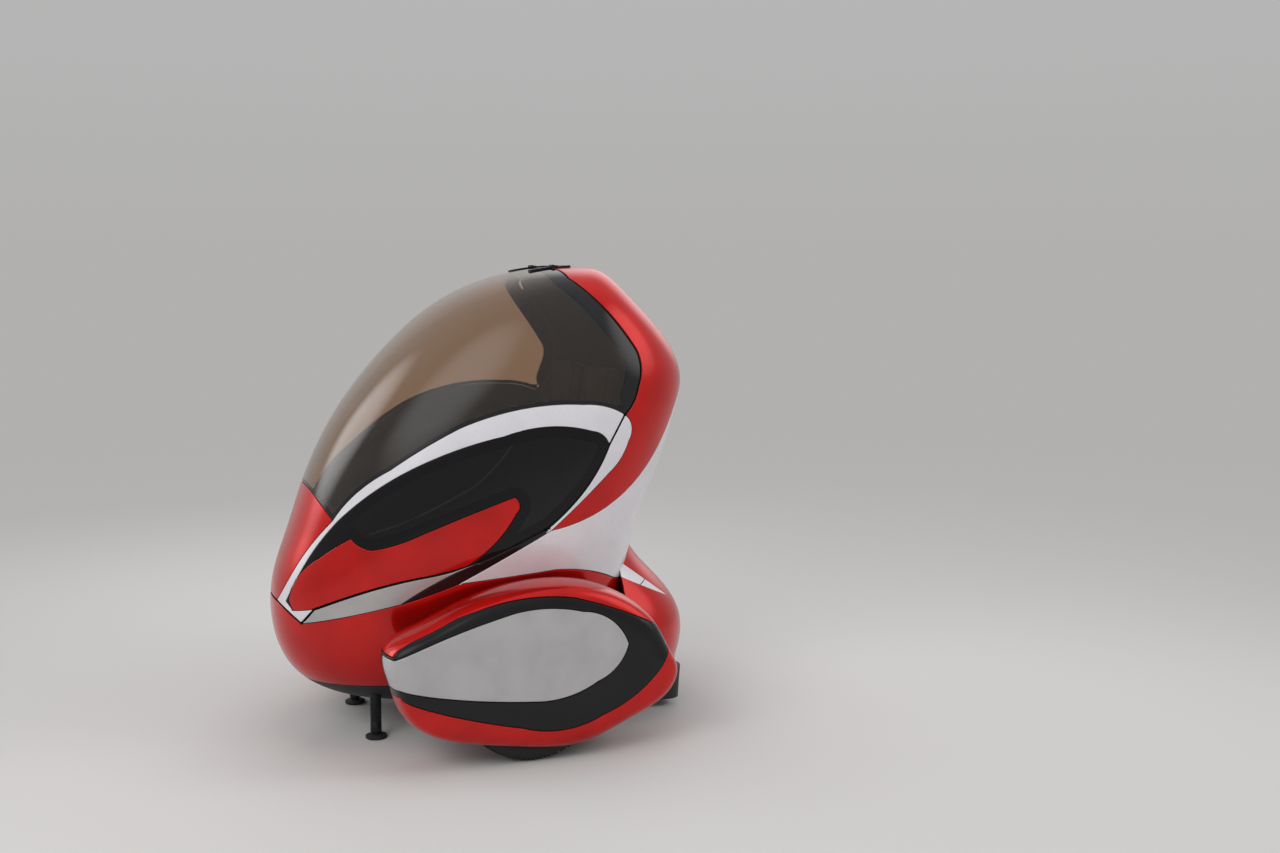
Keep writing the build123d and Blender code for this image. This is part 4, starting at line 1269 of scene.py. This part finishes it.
# Wheels: a turned tyre with grooves, and tread blocks shared round it by Geometry Nodes
tyreHalf = [(0.0, 0.2555), (0.030, 0.2540), (0.0440, 0.2500), (0.0560, 0.242), (0.0640, 0.226),
            (0.0648, 0.206), (0.0635, 0.2035), (0.0645, 0.203), (0.0648, 0.200), (0.064, 0.180),
            (0.060, 0.1705), (0.053, 0.1702)]
wheel = {
    "x": -0.020, "y": 0.600, "z": 0.260, "radius": 0.260, "blocks": 56, "rowStep": 0.0295,
    "tyre": [(-across, radius) for across, radius in tyreHalf[:0:-1]] + tyreHalf,
    "block": (0.0200, 0.0230, 0.0050),
    # rows of blocks: side, lean of the blocks and how much lower than the tyre's full radius
    "rows": ((-1, -0.14, 0.0032), (0, 0.0, 0.0004), (1, 0.14, 0.0032)),
}


def treadNodes():
    # a group that sets one block on every point of a carrier mesh, turned to that point's normal
    group = bpy.data.node_groups.new("treadBlocks", "GeometryNodeTree")
    face = group.interface
    face.new_socket("Geometry", in_out="INPUT", socket_type="NodeSocketGeometry")
    sizeSocket = face.new_socket("Size", in_out="INPUT", socket_type="NodeSocketVector")
    materialSocket = face.new_socket("Material", in_out="INPUT", socket_type="NodeSocketMaterial")
    face.new_socket("Geometry", in_out="OUTPUT", socket_type="NodeSocketGeometry")
    inside, outside, cube, normal, turn, spin, place, real, dress = (group.nodes.new(kind) for kind in (
        "NodeGroupInput", "NodeGroupOutput", "GeometryNodeMeshCube", "GeometryNodeInputNamedAttribute",
        "FunctionNodeAlignRotationToVector", "FunctionNodeAlignRotationToVector",
        "GeometryNodeInstanceOnPoints", "GeometryNodeRealizeInstances", "GeometryNodeSetMaterial"))
    normal.data_type = "FLOAT_VECTOR"
    normal.inputs["Name"].default_value = "outward"
    turn.axis = "Z"
    spin.axis = "Y"
    spin.pivot_axis = "Z"
    spin.inputs["Vector"].default_value = (0, 1, 0)
    for source, target in (
            (inside.outputs["Size"], cube.inputs["Size"]), (normal.outputs[0], turn.inputs["Vector"]),
            (turn.outputs[0], spin.inputs["Rotation"]), (inside.outputs["Geometry"], place.inputs["Points"]),
            (cube.outputs["Mesh"], place.inputs["Instance"]), (spin.outputs[0], place.inputs["Rotation"]),
            (place.outputs[0], real.inputs[0]), (real.outputs[0], dress.inputs["Geometry"]),
            (inside.outputs["Material"], dress.inputs["Material"]), (dress.outputs[0], outside.inputs[0])):
        group.links.new(source, target)
    return group, sizeSocket.identifier, materialSocket.identifier


treadGroup, sizeInput, materialInput = treadNodes()
for side, sign in (("Left", 1), ("Right", -1)):
    hub = np.array((wheel["x"], sign * wheel["y"], wheel["z"]))
    bodyName = "wheel_" + side.lower()
    tyre = lathe("tyre" + side, wheel["tyre"], hub, (0, 1, 0), 160, 40)
    finishPiece(tyre, bodyName, "tyre_rubber", [rubber], "tyre_" + side.lower())
    points, outward = [], []
    for row, lean, drop in wheel["rows"]:
        reach = wheel["radius"] - wheel["block"][2] / 2 - drop
        for k in range(wheel["blocks"]):
            a = 2 * np.pi * (k + 0.5 * abs(row)) / wheel["blocks"]
            points.append(tuple(hub + (reach * np.cos(a), row * wheel["rowStep"], reach * np.sin(a))))
            outward += [np.cos(a) * np.cos(lean), np.sin(lean), np.sin(a) * np.cos(lean)]
    carrier = bpy.data.meshes.new("treadPlaces" + side)
    carrier.from_pydata(points, [], [])
    carrier.attributes.new("outward", "FLOAT_VECTOR", "POINT").data.foreach_set("vector", outward)
    tread = newPiece("tread" + side, carrier)
    blocks = tread.modifiers.new("blocks", "NODES")
    blocks.node_group = treadGroup
    blocks[sizeInput] = wheel["block"]
    blocks[materialInput] = rubber
    real = finishedMesh(tread)
    tread.modifiers.clear()
    tread.data = real
    finishPiece(tread, bodyName, "tyre_rubber", [])
print("wheels ready")

# CAD nodes that show as they are
nodeFinish = {
    "floor_tub": blackPlastic, "tail_bumper": tailMaterial(), "rear_valance": blackPlastic,
    "rim": satinMetal, "drive_unit": castMetal, "chassis_frame": frameMetal, "battery_block": blackPlastic,
    "cabin_floor": carpet, "steering_column": blackPlastic, "canopy_hinge": frameMetal,
    "canopy_hinge_arms": frameMetal,
}
for nodeName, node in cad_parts.items():
    base = nodeName.removesuffix("_left").removesuffix("_right")
    if base in nodeFinish:
        node.data.materials.clear()
        node.data.materials.append(nodeFinish[base])
print("frame nodes dressed")

# Floor, light and camera
studio = {
    "floorNear": (0.50, 0.49, 0.48), "floorReach": 60, "fade": (1.8, 9.0),
    "horizon": (0.44, 0.435, 0.43), "zenith": (0.58, 0.58, 0.60), "rise": (0.02, 0.8),
    # soft bright patches of the world: direction, cosine at the rim and in the middle, brightness
    "patches": [
        ((0.60, 0.50, 0.62), 0.86, 0.99, 1.3), ((0.74, -0.54, 0.40), 0.93, 0.995, 2.6),
        ((-0.78, 0.40, 0.48), 0.90, 0.99, 1.3), ((-0.55, -0.70, 0.45), 0.88, 0.99, 0.8),
    ],
    # name, place, target, length, width, power
    "lamps": [
        ("keySoftbox", (2.9, 3.0, 3.0), (0.1, 0, 0.9), 2.4, 1.6, 66),
        ("rearSoftbox", (-3.2, 2.2, 2.6), (0, 0, 0.9), 1.6, 1.1, 35),
        ("farSoftbox", (0.5, -3.6, 3.0), (0, 0, 0.9), 2.0, 1.4, 30),
        ("topSoftbox", (0, 0, 4.4), (0, 0, 0.6), 2.6, 1.8, 30),
    ],
}


def plainFloor():
    # a wide pale floor that fades to the backdrop's colour
    mesh = bpy.data.meshes.new("floor")
    far = studio["floorReach"]
    mesh.from_pydata([(-far, -far, 0), (far, -far, 0), (far, far, 0), (-far, far, 0)], [], [(0, 1, 2, 3)])
    material, tree, shader, place = nodeMaterial("floorPlain")
    feed(shader, {"Base Color": studio["floorNear"], "Roughness": 0.8, "Specular IOR Level": 0.2})
    fromMiddle = newNode(tree, "ShaderNodeVectorMath", {0: place}, "Value", operation="LENGTH")
    glow = newNode(tree, "ShaderNodeEmission", {"Color": studio["horizon"]})
    fade = spread(tree, fromMiddle, 0, 1, *studio["fade"])
    blend = newNode(tree, "ShaderNodeMixShader", {0: fade, 1: shader.outputs[0], 2: glow})
    feed(nodeOf(tree, "OUTPUT_MATERIAL"), {"Surface": blend})
    mesh.materials.append(material)
    return newPiece("floor", mesh)


def studioWorld():
    # a pale backdrop with soft bright patches that only reflections and the pod's surfaces see
    world = bpy.data.worlds.new("studio")
    world.use_nodes = True
    tree = world.node_tree
    heading = newNode(tree, "ShaderNodeTexCoord", {}, "Generated")
    height = newNode(tree, "ShaderNodeSeparateXYZ", {0: heading}, "Z")
    rise = spread(tree, height, 0, 1, *studio["rise"])
    backdrop = sky = blendColours(tree, rise, studio["horizon"], studio["zenith"])
    for direction, rim, middle, brightness in studio["patches"]:
        inputs = {0: heading, 1: Vector(direction).normalized()}
        toward = newNode(tree, "ShaderNodeVectorMath", inputs, "Value", operation="DOT_PRODUCT")
        patch = spread(tree, toward, 0, brightness, rim, middle, "SMOOTHSTEP")
        sky = newNode(tree, "ShaderNodeVectorMath", {0: sky, 1: patch}, "Vector")
    rays = newNode(tree, "ShaderNodeLightPath", {}).node.outputs
    plain = maths(tree, "MAXIMUM", rays["Is Camera Ray"], rays["Is Transmission Ray"])
    feed(nodeOf(tree, "BACKGROUND"), {"Color": blendColours(tree, plain, sky, backdrop)})
    return world


floor = plainFloor()
bpy.context.scene.world = studioWorld()

for name, place, target, length, width, power in studio["lamps"]:
    light = bpy.data.lights.new(name, "AREA")
    light.shape = "RECTANGLE"
    light.size, light.size_y = length, width
    light.energy = power
    lamp = newPiece(name, light)
    lamp.location = place
    lamp.rotation_euler = (Vector(target) - Vector(place)).to_track_quat("-Z", "Y").to_euler()
    # the lamps light the pod but don't show in its paint or glass
    lamp.visible_glossy = lamp.visible_transmission = False

view = {"place": (1.28, 4.98, 1.61), "yaw": 21.1, "pitch": 6.2, "lens": 39.375, "sensor": 36}
cameraData = bpy.data.cameras.new("photoCamera")
cameraData.lens, cameraData.sensor_width = view["lens"], view["sensor"]
camera = newPiece("photoCamera", cameraData)
camera.location = view["place"]
yaw, pitch = np.radians(view["yaw"]), np.radians(view["pitch"])
forward = Vector((-np.sin(yaw) * np.cos(pitch), -np.cos(yaw) * np.cos(pitch), -np.sin(pitch)))
camera.rotation_euler = forward.to_track_quat("-Z", "Y").to_euler()
bpy.context.scene.camera = camera
bpy.context.scene.view_settings.view_transform = "Standard"
print("studio ready")
